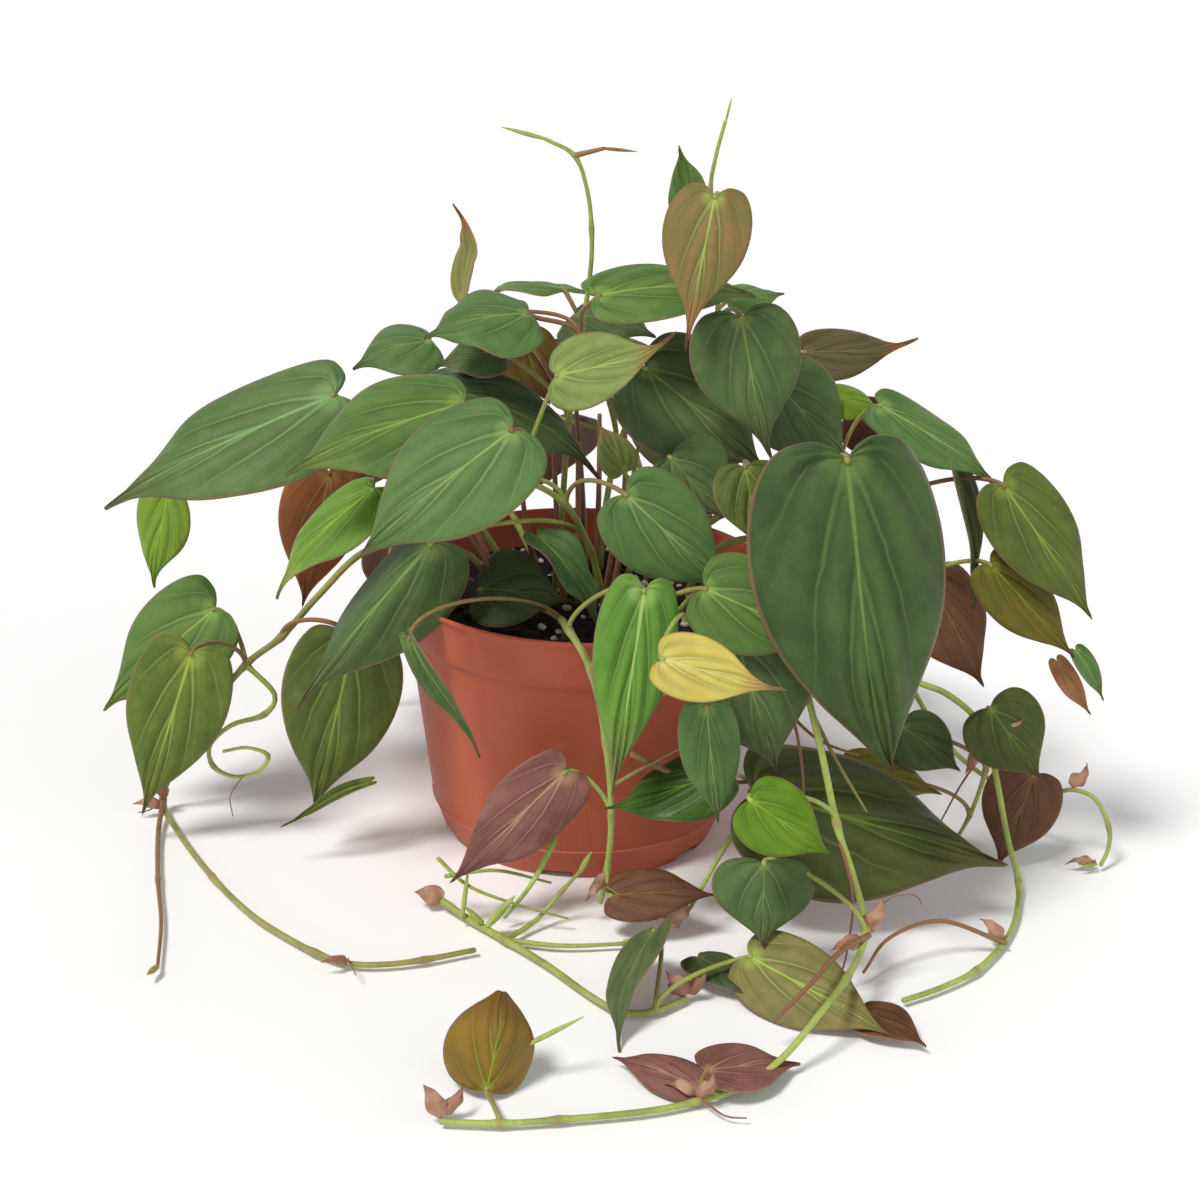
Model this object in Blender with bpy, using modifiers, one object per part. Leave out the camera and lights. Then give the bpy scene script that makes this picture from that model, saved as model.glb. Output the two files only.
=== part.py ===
"""Potted heart-leaf philodendron: a thin moulded nursery pot, its potting mix, thirteen vines with
their leaf stalks, and the leaf blades.  Metres, +Z up.  The origin is the middle of the pot's foot,
on the surface that the pot stands on, and -Y is the side that the plant shows best."""

import math

import bmesh
import bpy
import numpy as np
from mathutils import Matrix, Vector

CM = 0.01

# ---- driving dimensions of the pot ----------------------------------------------------------
POT_HEIGHT = 0.109
RIM_RADIUS = 0.0775
RIM_BAND_HEIGHT = 0.0200
RIM_BAND_LOW_RADIUS = 0.0730
BODY_TOP_RADIUS = 0.0712
FOOT_RADIUS = 0.0560
FOOT_LINE_HEIGHT = 0.0135
FOOT_LINE_RADIUS = 0.0607
POT_WALL = 0.0013
RIM_LIP = 0.0010
STEP_DROP = 0.0012
FLOOR_RAISE = 0.0035
PAD_RADIUS = 0.009
NOTCH_COUNT = 6
NOTCH_WIDTH = 0.013
NOTCH_HEIGHT = 0.003
NOTCH_REACH = 0.012
FIRST_NOTCH_TURN = -98.0
DRAIN_HOLE_RADIUS = 0.0045
DRAIN_HOLE_COUNT = 6
DRAIN_CIRCLE_RADIUS = 0.036
DRAIN_HOLE_SIDES = 10
TURN_STEPS = 28

# ---- driving dimensions of the plant --------------------------------------------------------
CLEARANCE = 0.0003
MIX_DEPTH_BELOW_RIM = 0.014
MIX_CROWN = 0.004
MIX_SHOULDER = (0.6, 0.7)
ROOTED_DEPTH = 0.016
ROOTED_RISE = 0.002
SOCKET_SIDES = 8
VINE_RADIUS = 0.0017
VINE_TIP_SHARE = 0.75
SHOOT_RADIUS = 0.00136
SHOOT_TIP_SHARE = 0.6
STALK_RADIUS = 0.0010
STALK_POINTS = 6
STALK_RISE = 0.30
STALK_LEAN = 0.05
STALK_MEET = (0.22, 0.18)
STALK_LEAST_RISE = 0.010
STALK_LEAST_REACH = 0.018
BLADE_THICKNESS = 0.0007
VINE_STEP = 0.016

MIX_TOP = POT_HEIGHT - MIX_DEPTH_BELOW_RIM
MIX_PEAK = MIX_TOP + MIX_CROWN

# The plant's points below are set for a pot of this height and rim, and move with the pot's own.
PLANTED_HEIGHT = 0.109
PLANTED_RIM = 0.0775

# The outline of half a blade: share of the length from the notch, share of the half width.
# The ribs of the first FAN_SHARE of the outline all start at the notch.
HEART = ((0.0, 0.0), (-0.05, 0.13), (-0.075, 0.36), (-0.045, 0.68), (0.07, 0.90), (0.24, 1.0),
         (0.42, 0.975), (0.60, 0.80), (0.76, 0.50), (0.87, 0.24), (1.0, 0.0))
FAN_SHARE = 0.34
FAN_POWER = 1.1
OUTLINE_STEP = 0.02

# ---- colours: red, green, blue, roughness ---------------------------------------------------
FINISHES = {
    "pot_plastic": (0.47, 0.13, 0.07, 0.50),
    "mix": (0.022, 0.015, 0.011, 0.95),
    "stem_green": (0.25, 0.33, 0.07, 0.50),
    "leaf_green": (0.055, 0.150, 0.045, 0.55),
    "leaf_fresh": (0.130, 0.330, 0.035, 0.50),
    "leaf_olive": (0.150, 0.170, 0.055, 0.55),
    "leaf_bronze": (0.230, 0.130, 0.070, 0.55),
    "leaf_yellow": (0.620, 0.550, 0.120, 0.50),
}

# ---- vines: points in centimetres, from the rooted end to the growing tip -------------------
# The first point of each is where it leaves the mix, and its rooted end goes straight down from it.
VINES = {
    "vine_left": ((-3.4, -1.4), ((-4.4, -1.7, 11.9), (-6.4, -2.0, 12.6), (-8.6, -2.2, 12.2),
                  (-10.4, -2.4, 10.4), (-11.9, -2.4, 8.6), (-13.4, -2.0, 7.2), (-15.1, -1.6, 4.9),
                  (-16.5, -1.1, 2.4), (-17.2, -1.0, 0.6), (-16.2, -3.2, 0.3), (-14.1, -7.0, 0.3),
                  (-12.3, -9.6, 0.3), (-10.9, -11.1, 0.3), (-9.4, -12.4, 0.3), (-8.1, -13.1, 0.3),
                  (-6.8, -13.1, 0.3), (-5.4, -12.7, 0.3), (-3.6, -11.9, 0.3))),
    "vine_front": ((-0.6, -4.6), ((-0.8, -5.9, 11.1), (-0.5, -7.8, 11.5), (0.4, -8.7, 10.2),
                   (1.0, -8.9, 7.5), (1.3, -8.9, 4.5), (1.2, -8.7, 2.0), (1.0, -8.4, 0.5))),
    "vine_loop": ((3.4, -3.2), ((4.6, -4.6, 12.0), (6.2, -6.4, 12.5), (7.6, -8.4, 11.6),
                  (8.6, -10.4, 8.8), (9.4, -11.6, 5.8), (10.1, -12.2, 3.9), (10.5, -13.4, 2.4),
                  (9.6, -16.2, 2.2), (8.5, -18.0, 1.8), (7.3, -19.2, 0.9), (6.0, -20.2, 0.4),
                  (4.4, -21.1, 0.3), (2.6, -21.8, 0.3), (-0.2, -22.4, 0.3), (-2.1, -22.7, 0.3),
                  (-4.0, -22.7, 0.3))),
    "vine_arc": ((4.2, 0.4), ((5.4, 0.2, 12.0), (7.4, -0.4, 12.6), (9.4, -1.4, 12.0),
                 (11.4, -2.2, 9.6), (12.8, -2.7, 7.9), (14.3, -3.2, 7.4), (15.4, -3.7, 6.7),
                 (16.0, -4.2, 5.8), (16.5, -4.6, 4.0), (17.0, -5.0, 2.0), (17.4, -6.0, 0.6),
                 (16.9, -8.4, 0.3), (16.1, -10.3, 0.3), (14.8, -12.3, 0.3), (13.3, -13.6, 0.3),
                 (11.9, -14.5, 0.3))),
    "vine_curl": ((3.0, 3.2), ((4.4, 4.6, 12.0), (6.4, 6.0, 12.6), (8.6, 6.4, 11.8),
                  (11.0, 5.8, 9.0), (13.4, 4.4, 5.6), (15.4, 2.0, 2.9), (17.4, -0.4, 2.1),
                  (18.9, -1.8, 2.4), (19.9, -2.5, 3.0), (20.8, -2.9, 2.8), (21.4, -3.2, 1.7),
                  (21.4, -3.5, 0.9), (21.1, -3.8, 0.3))),
    "vine_crown": ((-1.2, 0.6), ((-1.0, 0.4, 13.0), (-0.8, 0.1, 17.0), (-0.4, -0.2, 20.5),
                   (-0.1, -0.5, 23.2), (-0.1, -0.6, 24.8), (-0.3, -0.8, 26.3), (-0.8, -1.0, 27.6),
                   (-1.9, -1.1, 28.2))),
    "vine_spire": ((1.6, 0.9), ((2.6, 0.6, 13.0), (3.8, 0.2, 17.0), (4.7, -0.3, 20.5),
                   (4.7, -0.6, 24.1), (4.3, -0.8, 26.3), (4.4, -0.9, 27.6), (4.7, -1.0, 29.0))),
    "vine_mound_left": ((-3.0, 1.4), ((-4.6, 1.2, 12.6), (-6.4, 0.8, 14.4), (-8.4, 0.4, 15.4),
                        (-10.6, 0.4, 15.6), (-13.0, 0.4, 15.0))),
    "vine_mound_front": ((0.8, -1.2), ((0.2, -1.8, 12.4), (-0.8, -2.8, 14.6), (-2.4, -3.8, 15.8),
                         (-4.2, -4.6, 15.6))),
    "vine_mound_right": ((2.8, -1.0), ((3.8, -1.8, 12.4), (4.8, -3.0, 14.2), (6.4, -4.2, 15.2),
                         (8.2, -4.8, 15.6))),
    "vine_back": ((0.6, 3.6), ((0.8, 5.2, 12.2), (1.2, 7.0, 13.6), (2.0, 9.2, 12.8),
                  (2.6, 10.8, 10.2), (2.9, 11.6, 7.0), (2.6, 12.0, 3.6), (1.6, 12.6, 0.9),
                  (-0.8, 13.6, 0.3), (-3.8, 14.2, 0.3))),
    "vine_back_left": ((-2.2, 3.6), ((-3.6, 5.0, 12.0), (-5.6, 6.6, 12.6), (-7.4, 8.0, 11.2),
                       (-8.6, 8.8, 8.4), (-9.2, 9.2, 5.0), (-9.6, 10.0, 1.6), (-10.6, 11.4, 0.3),
                       (-12.6, 12.6, 0.3))),
    "vine_floor": (None, ((-5.0, -8.7, 0.5), (-3.9, -9.7, 0.3), (-2.5, -11.1, 0.3),
                   (-0.9, -12.8, 0.3), (0.7, -14.8, 0.3), (1.8, -15.8, 0.3), (3.0, -15.7, 0.3),
                   (4.1, -14.8, 0.3))),
}

# Side shoots, joined to their vine: the vine, then the points from the joint outwards.
SHOOTS = {
    "left_runner": ("vine_left", ((-17.2, -1.0, 0.6), (-16.9, -3.6, 0.3), (-16.2, -7.2, 0.3),
                    (-15.4, -10.6, 0.3), (-14.9, -13.8, 0.3))),
    "left_curl": ("vine_left", ((-13.4, -2.0, 7.2), (-12.2, -2.6, 6.2), (-12.6, -2.8, 5.4),
                  (-13.9, -2.8, 4.9), (-14.8, -2.8, 4.0), (-14.7, -2.9, 3.1), (-13.8, -3.0, 2.7),
                  (-12.8, -3.2, 3.1), (-12.4, -3.4, 3.9), (-13.2, -3.6, 4.3), (-14.1, -3.8, 4.2))),
    "loop_spur": ("vine_loop", ((7.6, -8.4, 11.6), (7.7, -6.7, 9.2), (7.4, -5.8, 6.4),
                  (6.8, -6.4, 3.8), (6.4, -7.2, 2.6))),
    "right_strand": ("vine_arc", ((16.0, -4.2, 5.8), (16.1, -3.8, 4.4), (15.7, -3.5, 2.2),
                     (14.9, -3.4, 0.3))),
    "floor_link": ("vine_floor", ((-2.5, -11.1, 0.3), (-1.4, -9.9, 0.5), (-0.5, -9.3, 1.4),
                   (0.2, -9.5, 2.4))),
    "floor_runner": ("vine_floor", ((-2.5, -11.1, 0.3), (-0.4, -11.4, 0.3), (2.0, -11.1, 0.3))),
    "crown_fork": ("vine_crown", ((-0.8, -1.0, 27.6), (0.3, -1.0, 27.9))),
}

# ---- leaves, in centimetres -----------------------------------------------------------------
# name: vine, notch, tip, width, the way its upper face looks, arch (rise of the middle of the
# midrib, share of the length), fall of the margins (degrees), finish
LEAVES = {
    "leaf_top_spire": ("vine_spire", (4.0, 0.7, 24.5), (3.1, 0.2, 27.9), 2.0,
        (-0.5, -0.8, 0.1), 0.03, 2, "leaf_olive"),
    "leaf_top_bronze": ("vine_spire", (4.3, -4.0, 26.8), (3.4, -6.0, 21.7), 3.2,
        (-0.15, -0.95, 0.3), 0.02, 8, "leaf_bronze"),
    "leaf_top_left": ("vine_crown", (0.3, -3.4, 23.0), (6.2, -1.4, 22.9), 3.4,
        (-0.1, -0.45, 0.9), 0.05, 10, "leaf_green"),
    "leaf_top_right": ("vine_spire", (5.4, 3.0, 21.5), (7.6, 3.5, 21.5), 2.4,
        (0.0, -0.25, 1.0), 0.06, 6, "leaf_green"),
    "leaf_top_folded": ("vine_crown", (-5.2, 2.5, 21.2), (-4.4, 2.0, 24.7), 2.0,
        (-0.9, -0.45, 0.2), 0.04, -15, "leaf_olive"),
    "leaf_crown_1": ("vine_crown", (-2.5, -0.5, 21.5), (-6.3, -2.0, 20.9), 4.2,
        (-0.05, -0.4, 0.9), 0.06, 10, "leaf_green"),
    "leaf_crown_2": ("vine_mound_left", (-6.6, 4.0, 19.1), (-9.6, 3.0, 18.2), 4.0,
        (-0.1, -0.3, 0.9), 0.08, 5, "leaf_green"),
    "leaf_crown_3": ("vine_crown", (-2.9, 3.5, 19.5), (-1.6, 2.5, 17.0), 2.6,
        (0.1, -0.9, 0.3), 0.04, 5, "leaf_bronze"),
    "leaf_crown_4": ("vine_mound_front", (-1.2, -4.5, 20.2), (3.2, -6.6, 21.9), 3.0,
        (0.0, -0.8, 0.6), 0.0, 2, "leaf_olive"),
    "leaf_crown_5": ("vine_crown", (-0.7, 3.0, 20.6), (2.5, 1.5, 20.3), 3.8,
        (0.1, -0.4, 0.9), 0.06, 6, "leaf_green"),
    "leaf_left_long": ("vine_mound_left", (-9.9, -1.0, 18.2), (-18.7, -3.0, 14.1), 5.4,
        (-0.2, -0.62, 0.75), 0.02, 12, "leaf_green"),
    "leaf_left_broad": ("vine_mound_front", (-4.7, -4.0, 18.9), (-10.9, -7.0, 17.1), 5.2,
        (-0.15, -0.6, 0.8), 0.03, 12, "leaf_green"),
    "leaf_left_face": ("vine_mound_front", (-2.7, -8.0, 19.1), (-7.8, -10.5, 15.3), 4.8,
        (-0.25, -0.8, 0.55), 0.02, 6, "leaf_green"),
    "leaf_left_yellowing": ("vine_mound_left", (-16.7, 0.0, 13.6), (-18.0, 0.5, 9.4), 2.6,
        (-0.3, -0.85, 0.3), -0.06, 5, "leaf_fresh"),
    "leaf_left_brown": ("vine_mound_left", (-10.6, 3.0, 13.6), (-11.7, 2.0, 8.1), 3.4,
        (0.0, -0.95, 0.2), 0.02, 5, "leaf_bronze"),
    "leaf_left_fresh": ("vine_mound_front", (-8.1, -4.0, 15.4), (-11.8, -6.0, 12.0), 3.0,
        (-0.6, -0.6, 0.5), 0.04, 10, "leaf_fresh"),
    "leaf_left_hanging": ("vine_mound_front", (-5.8, -5.5, 13.8), (-10.8, -7.5, 7.8), 3.6,
        (-0.3, -0.8, 0.4), 0.02, 12, "leaf_green"),
    "leaf_left_low": ("vine_left", (-8.8, -5.0, 9.4), (-10.5, -4.5, 1.9), 4.6,
        (0.1, -0.95, 0.2), 0.0, 5, "leaf_olive"),
    "leaf_left_outer": ("vine_left", (-14.8, -1.2, 9.2), (-19.6, -1.8, 5.0), 4.6,
        (-0.35, -0.75, 0.5), 0.0, 4, "leaf_green"),
    "leaf_left_outer_low": ("vine_left", (-15.1, -4.5, 8.6), (-17.5, -4.0, 1.2), 4.0,
        (0.0, -0.95, 0.2), 0.0, 5, "leaf_olive"),
    "leaf_over_mix": ("vine_front", (-4.0, -3.2, 11.2), (-0.6, -4.1, 11.2), 3.4,
        (0.1, -0.7, 0.7), 0.05, -6, "leaf_green"),
    "leaf_mid_long": ("vine_mound_left", (-5.2, -1.0, 18.5), (0.7, -1.5, 15.6), 3.4,
        (0.15, -0.55, 0.85), 0.10, 8, "leaf_green"),
    "leaf_mid_behind": ("vine_crown", (-3.5, 0.5, 19.7), (-6.0, 0.0, 19.2), 2.6,
        (0.0, -0.4, 0.9), 0.06, 4, "leaf_green"),
    "leaf_mid_small": ("vine_mound_right", (1.4, -2.0, 15.8), (0.4, -1.5, 17.5), 1.6,
        (0.3, -0.8, 0.4), 0.03, -10, "leaf_olive"),
    "leaf_mid_dark": ("vine_spire", (2.1, -2.5, 20.0), (6.8, -3.5, 16.5), 5.0,
        (0.15, -0.8, 0.6), 0.02, 6, "leaf_green"),
    "leaf_mid_heart": ("vine_spire", (5.5, -4.0, 22.4), (6.6, -5.5, 17.4), 4.2,
        (0.1, -0.9, 0.4), 0.0, 6, "leaf_green"),
    "leaf_mid_low": ("vine_mound_right", (3.1, -5.0, 17.3), (5.1, -6.0, 15.4), 3.6,
        (0.1, -0.8, 0.5), 0.0, 5, "leaf_olive"),
    "leaf_mid_light": ("vine_mound_right", (5.7, -7.5, 17.8), (6.2, -8.5, 15.1), 2.6,
        (0.0, -0.95, 0.35), 0.04, -8, "leaf_olive"),
    "leaf_mid_face": ("vine_mound_front", (1.5, -6.8, 16.4), (5.4, -7.7, 13.1), 3.7,
        (0.0, -0.9, 0.4), 0.0, 5, "leaf_green"),
    "leaf_right_dark": ("vine_spire", (7.0, -2.0, 19.5), (10.0, -2.5, 16.6), 4.0,
        (0.15, -0.8, 0.6), 0.0, 5, "leaf_green"),
    "leaf_right_curled": ("vine_spire", (8.4, 1.5, 19.8), (12.7, 0.5, 20.4), 2.8,
        (0.1, -0.6, 0.85), -0.02, 8, "leaf_olive"),
    "leaf_right_high": ("vine_arc", (11.1, -2.0, 18.7), (15.8, -3.0, 16.1), 2.4,
        (0.2, -0.65, 0.7), 0.02, 10, "leaf_green"),
    "leaf_right_pale": ("vine_spire", (9.3, -0.5, 18.6), (11.5, -0.5, 17.9), 1.8,
        (0.1, -0.5, 0.8), 0.05, 6, "leaf_fresh"),
    "leaf_right_brown": ("vine_arc", (10.4, 1.0, 17.4), (13.3, 0.5, 15.8), 2.8,
        (0.2, -0.7, 0.7), 0.05, 8, "leaf_bronze"),
    "leaf_right_round": ("vine_arc", (12.7, -4.0, 6.2), (14.9, -5.0, 4.9), 2.6,
        (0.2, -0.8, 0.6), 0.05, 8, "leaf_green"),
    "leaf_right_olive": ("vine_arc", (10.5, -5.0, 4.9), (14.2, -5.4, 4.1), 2.2,
        (0.0, -0.6, 0.8), 0.05, 8, "leaf_olive"),
    "leaf_right_under": ("vine_arc", (13.5, -2.5, 11.8), (15.9, -3.0, 7.6), 3.4,
        (0.3, -0.9, 0.2), 0.0, 5, "leaf_bronze"),
    "leaf_right_shade": ("vine_arc", (15.9, -4.6, 7.4), (18.0, -5.4, 4.8), 3.4,
        (0.1, -0.9, 0.4), 0.0, 5, "leaf_green"),
    "leaf_right_outer": ("vine_arc", (15.8, -3.5, 16.1), (19.6, -4.5, 11.2), 3.4,
        (0.25, -0.9, 0.3), 0.0, 6, "leaf_olive"),
    "leaf_right_outer_low": ("vine_arc", (15.6, -3.5, 12.9), (19.1, -4.0, 9.4), 2.6,
        (0.1, -0.9, 0.4), 0.0, 5, "leaf_olive"),
    "leaf_right_narrow": ("vine_arc", (14.0, -2.5, 16.7), (15.3, -3.0, 10.9), 1.6,
        (0.8, -0.5, 0.1), 0.03, -25, "leaf_green"),
    "leaf_right_low": ("vine_curl", (18.2, -3.0, 3.8), (16.9, -4.4, 0.4), 3.4,
        (0.2, -0.9, 0.4), 0.0, 5, "leaf_bronze"),
    "leaf_front_1": ("vine_front", (4.4, -9.5, 13.9), (8.9, -10.5, 12.3), 3.6,
        (0.05, -0.85, 0.5), 0.0, 5, "leaf_green"),
    "leaf_front_large": ("vine_loop", (9.1, -9.5, 18.8), (10.6, -13.0, 8.4), 7.0,
        (0.12, -0.95, 0.25), 0.0, 8, "leaf_green"),
    "leaf_front_bright": ("vine_front", (2.2, -9.5, 13.7), (1.3, -11.5, 6.5), 3.0,
        (0.1, -0.98, 0.2), 0.0, 8, "leaf_fresh"),
    "leaf_front_yellow": ("vine_front", (2.9, -12.5, 12.4), (7.1, -13.5, 11.6), 2.4,
        (0.05, -0.85, 0.5), 0.05, -8, "leaf_yellow"),
    "leaf_front_2": ("vine_loop", (5.6, -10.0, 12.0), (7.2, -11.0, 7.5), 4.8,
        (0.05, -0.95, 0.3), 0.0, 6, "leaf_green"),
    "leaf_front_3": ("vine_front", (4.5, -11.8, 10.3), (5.1, -12.2, 5.9), 2.2,
        (-0.1, -0.95, 0.2), 0.04, -8, "leaf_green"),
    "leaf_front_glossy": ("vine_loop", (5.4, -9.0, 6.5), (1.1, -9.8, 5.0), 2.8,
        (-0.1, -0.6, 0.8), 0.0, 10, "leaf_green"),
    "leaf_front_young": ("vine_loop", (6.1, -14.0, 7.8), (8.9, -14.8, 6.2), 2.7,
        (0.0, -0.9, 0.4), 0.0, 5, "leaf_fresh"),
    "leaf_front_round": ("vine_loop", (6.8, -12.4, 4.5), (6.8, -13.9, 2.0), 3.7,
        (0.0, -0.9, 0.4), 0.0, 6, "leaf_green"),
    "leaf_front_low": ("vine_loop", (6.8, -8.8, 5.6), (16.4, -8.6, 2.8), 6.0,
        (0.0, -0.65, 0.75), 0.0, 12, "leaf_green"),
    "leaf_front_brown": ("vine_front", (-0.5, -9.2, 6.3), (-4.7, -9.8, 1.8), 3.0,
        (0.05, -0.97, 0.2), 0.0, 5, "leaf_bronze"),
    "leaf_front_narrow": ("vine_front", (-6.3, -8.3, 11.1), (-3.3, -8.8, 7.1), 1.2,
        (-0.6, -0.75, 0.1), 0.06, -25, "leaf_green"),
    "leaf_floor_1": ("vine_floor", (2.9, -13.0, 2.0), (1.4, -18.0, 0.4), 2.4,
        (-0.7, -0.5, 0.5), 0.05, -8, "leaf_green"),
    "leaf_floor_2": ("vine_floor", (6.4, -13.8, 1.5), (11.0, -17.4, 0.8), 3.2,
        (-0.1, -0.7, 0.7), 0.0, 5, "leaf_olive"),
    "leaf_floor_3": ("vine_loop", (-2.6, -21.2, 0.6), (-2.1, -20.2, 3.4), 3.0,
        (0.1, -0.95, 0.2), 0.05, 10, "leaf_bronze"),
    "leaf_floor_4": ("vine_loop", (4.7, -20.0, 0.8), (7.9, -18.9, 0.5), 2.6,
        (0.0, -0.1, 0.99), 0.02, -4, "leaf_bronze"),
    "leaf_floor_5": ("vine_front", (1.4, -9.8, 1.6), (5.3, -10.2, 2.0), 2.2,
        (0.0, -0.6, 0.75), 0.06, 8, "leaf_bronze"),
    "leaf_back_1": ("vine_back_left", (-3.0, 5.0, 18.0), (-8.5, 8.5, 15.5), 4.8,
        (-0.4, 0.5, 0.8), 0.06, 8, "leaf_green"),
    "leaf_back_2": ("vine_back", (0.0, 6.0, 19.0), (0.5, 12.0, 15.5), 5.0,
        (0.0, 0.6, 0.8), 0.06, 8, "leaf_green"),
    "leaf_back_3": ("vine_back", (4.0, 5.5, 18.5), (9.0, 9.0, 15.0), 4.8,
        (0.4, 0.5, 0.8), 0.06, 8, "leaf_olive"),
    "leaf_back_4": ("vine_back_left", (-6.0, 7.0, 14.6), (-11.5, 9.5, 10.0), 4.6,
        (-0.6, 0.6, 0.6), 0.06, 8, "leaf_green"),
    "leaf_back_5": ("vine_back", (-1.5, 9.5, 14.5), (-4.0, 14.0, 8.5), 5.0,
        (-0.2, 0.85, 0.5), 0.06, 8, "leaf_green"),
    "leaf_back_6": ("vine_back", (4.0, 10.0, 14.6), (5.5, 14.5, 9.0), 5.2,
        (0.1, 0.85, 0.5), 0.06, 8, "leaf_green"),
    "leaf_back_7": ("vine_curl", (8.5, 7.0, 15.0), (13.0, 9.8, 10.5), 4.6,
        (0.6, 0.6, 0.55), 0.06, 8, "leaf_green"),
    "leaf_back_8": ("vine_back_left", (-7.8, 10.0, 9.6), (-9.5, 12.0, 4.0), 4.2,
        (-0.5, 0.8, 0.3), 0.06, 8, "leaf_olive"),
    "leaf_back_9": ("vine_back", (-2.0, 11.5, 8.6), (-2.5, 13.0, 2.5), 4.6,
        (0.0, 0.95, 0.3), 0.06, 8, "leaf_green"),
    "leaf_back_10": ("vine_back", (4.4, 12.6, 7.6), (5.0, 14.0, 2.2), 3.6,
        (0.0, 0.95, 0.3), 0.06, 8, "leaf_olive"),
    "leaf_back_11": ("vine_curl", (9.8, 9.0, 9.4), (11.2, 11.5, 4.0), 4.2,
        (0.4, 0.85, 0.3), 0.06, 8, "leaf_green"),
    "leaf_back_12": ("vine_mound_left", (-9.5, 5.0, 13.5), (-12.0, 7.0, 8.0), 4.0,
        (-0.8, 0.5, 0.4), 0.06, 8, "leaf_green"),
    "leaf_back_13": ("vine_curl", (12.5, 4.6, 12.6), (15.5, 6.5, 8.0), 3.8,
        (0.8, 0.4, 0.5), 0.06, 8, "leaf_olive"),
    "leaf_back_14": ("vine_back", (-1.2, 5.0, 21.2), (-4.2, 8.0, 20.4), 4.0,
        (-0.1, 0.3, 0.95), 0.06, 8, "leaf_green"),
}
# Blades this small are one body with their vine, like its stalks.
JOINED_BLADE_WIDTH = 3.2


# ---- helpers --------------------------------------------------------------------------------
def make_material(name):
    """A Principled material in one of the part's finishes."""
    red, green, blue, roughness = FINISHES[name]
    material = bpy.data.materials.new(name)
    material.use_nodes = True
    shader = material.node_tree.nodes["Principled BSDF"]
    shader.inputs["Base Color"].default_value = (red, green, blue, 1.0)
    shader.inputs["Roughness"].default_value = roughness
    shader.inputs["Metallic"].default_value = 0.0
    return material


def make_object(name, mesh, collection, finish=None):
    """An object for a mesh, in a collection, with its finish."""
    obj = bpy.data.objects.new(name, mesh)
    collection.objects.link(obj)
    if finish:
        mesh.materials.append(bpy.data.materials[finish])
    return obj


def hide_helper(obj):
    """Mark a cutter or a joined piece as a guide."""
    obj.hide_render = True
    obj.display_type = "WIRE"


def smooth(obj, angle=40.0):
    """Smooth shading, with sharp edges kept."""
    obj.data.shade_smooth()
    obj.data.set_sharp_from_angle(angle=math.radians(angle))


def spline_points(points, step):
    """Points about one step apart on a smooth curve through the given ones."""
    knots = [Vector(p) for p in points]
    knots = [2 * knots[0] - knots[1]] + knots + [2 * knots[-1] - knots[-2]]
    found = []
    for before, start, end, after in zip(knots, knots[1:], knots[2:], knots[3:]):
        count = max(1, round((end - start).length / step))
        for index in range(count):
            t = index / count
            found.append(0.5 * (2 * start + (end - before) * t
                                + (2 * before - 5 * start + 4 * end - after) * t ** 2
                                + (3 * start - before - 3 * end + after) * t ** 3))
    return found + [knots[-2]]


def make_tube(name, points, radius, collection, sides=1, tip_share=1.0):
    """A closed tube along the points, made a mesh with its caps welded."""
    curve = bpy.data.curves.new(name, "CURVE")
    curve.dimensions = "3D"
    curve.bevel_depth = radius
    curve.bevel_resolution = sides
    curve.use_fill_caps = True
    spline = curve.splines.new("POLY")
    spline.points.add(len(points) - 1)
    for index, (spot, point) in enumerate(zip(spline.points, points)):
        spot.co = (*point, 1.0)
        spot.radius = 1.0 + (tip_share - 1.0) * index / (len(points) - 1)
    guide = make_object(name + "_route", curve, collection)
    bpy.context.view_layer.update()
    depsgraph = bpy.context.evaluated_depsgraph_get()
    mesh = bpy.data.meshes.new_from_object(guide.evaluated_get(depsgraph))
    tube = make_object(name, mesh, collection)
    tube.matrix_world = guide.matrix_world
    bpy.data.objects.remove(guide)
    body = bmesh.new()
    body.from_mesh(mesh)
    bmesh.ops.remove_doubles(body, verts=body.verts, dist=1e-6)
    bmesh.ops.recalc_face_normals(body, faces=body.faces)
    body.to_mesh(mesh)
    body.free()
    return tube


def add_boolean(obj, operation, operands):
    """Cut or join a whole collection of helpers."""
    modifier = obj.modifiers.new(operation.title(), "BOOLEAN")
    modifier.operation = operation
    modifier.operand_type = "COLLECTION"
    modifier.collection = operands
    modifier.solver = "EXACT"


def new_collection(name, parent):
    """A collection linked under another."""
    collection = bpy.data.collections.new(name)
    parent.children.link(collection)
    return collection


# ---- pot ------------------------------------------------------------------------------------
def wall_radius(height):
    """The outer radius of the pot at a height."""
    if height <= FOOT_LINE_HEIGHT:
        share = height / FOOT_LINE_HEIGHT
        return FOOT_RADIUS + (FOOT_LINE_RADIUS - FOOT_RADIUS) * share
    band_low = POT_HEIGHT - RIM_BAND_HEIGHT
    if height <= band_low:
        share = (height - FOOT_LINE_HEIGHT) / (band_low - FOOT_LINE_HEIGHT)
        return FOOT_LINE_RADIUS + (BODY_TOP_RADIUS - FOOT_LINE_RADIUS) * share
    share = (height - band_low) / RIM_BAND_HEIGHT
    return RIM_BAND_LOW_RADIUS + (RIM_RADIUS - RIM_LIP - RIM_BAND_LOW_RADIUS) * share


def cavity_profile():
    """The inside of the pot's wall, from the floor to the rim, as (radius, height)."""
    band_low = POT_HEIGHT - RIM_BAND_HEIGHT
    floor = FLOOR_RAISE + POT_WALL
    return [(wall_radius(floor) - POT_WALL, floor),
            (wall_radius(band_low - STEP_DROP) - POT_WALL, band_low - STEP_DROP),
            (wall_radius(band_low + 2 * STEP_DROP) - POT_WALL, band_low + 2 * STEP_DROP),
            (RIM_RADIUS - RIM_LIP - POT_WALL, POT_HEIGHT)]


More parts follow.
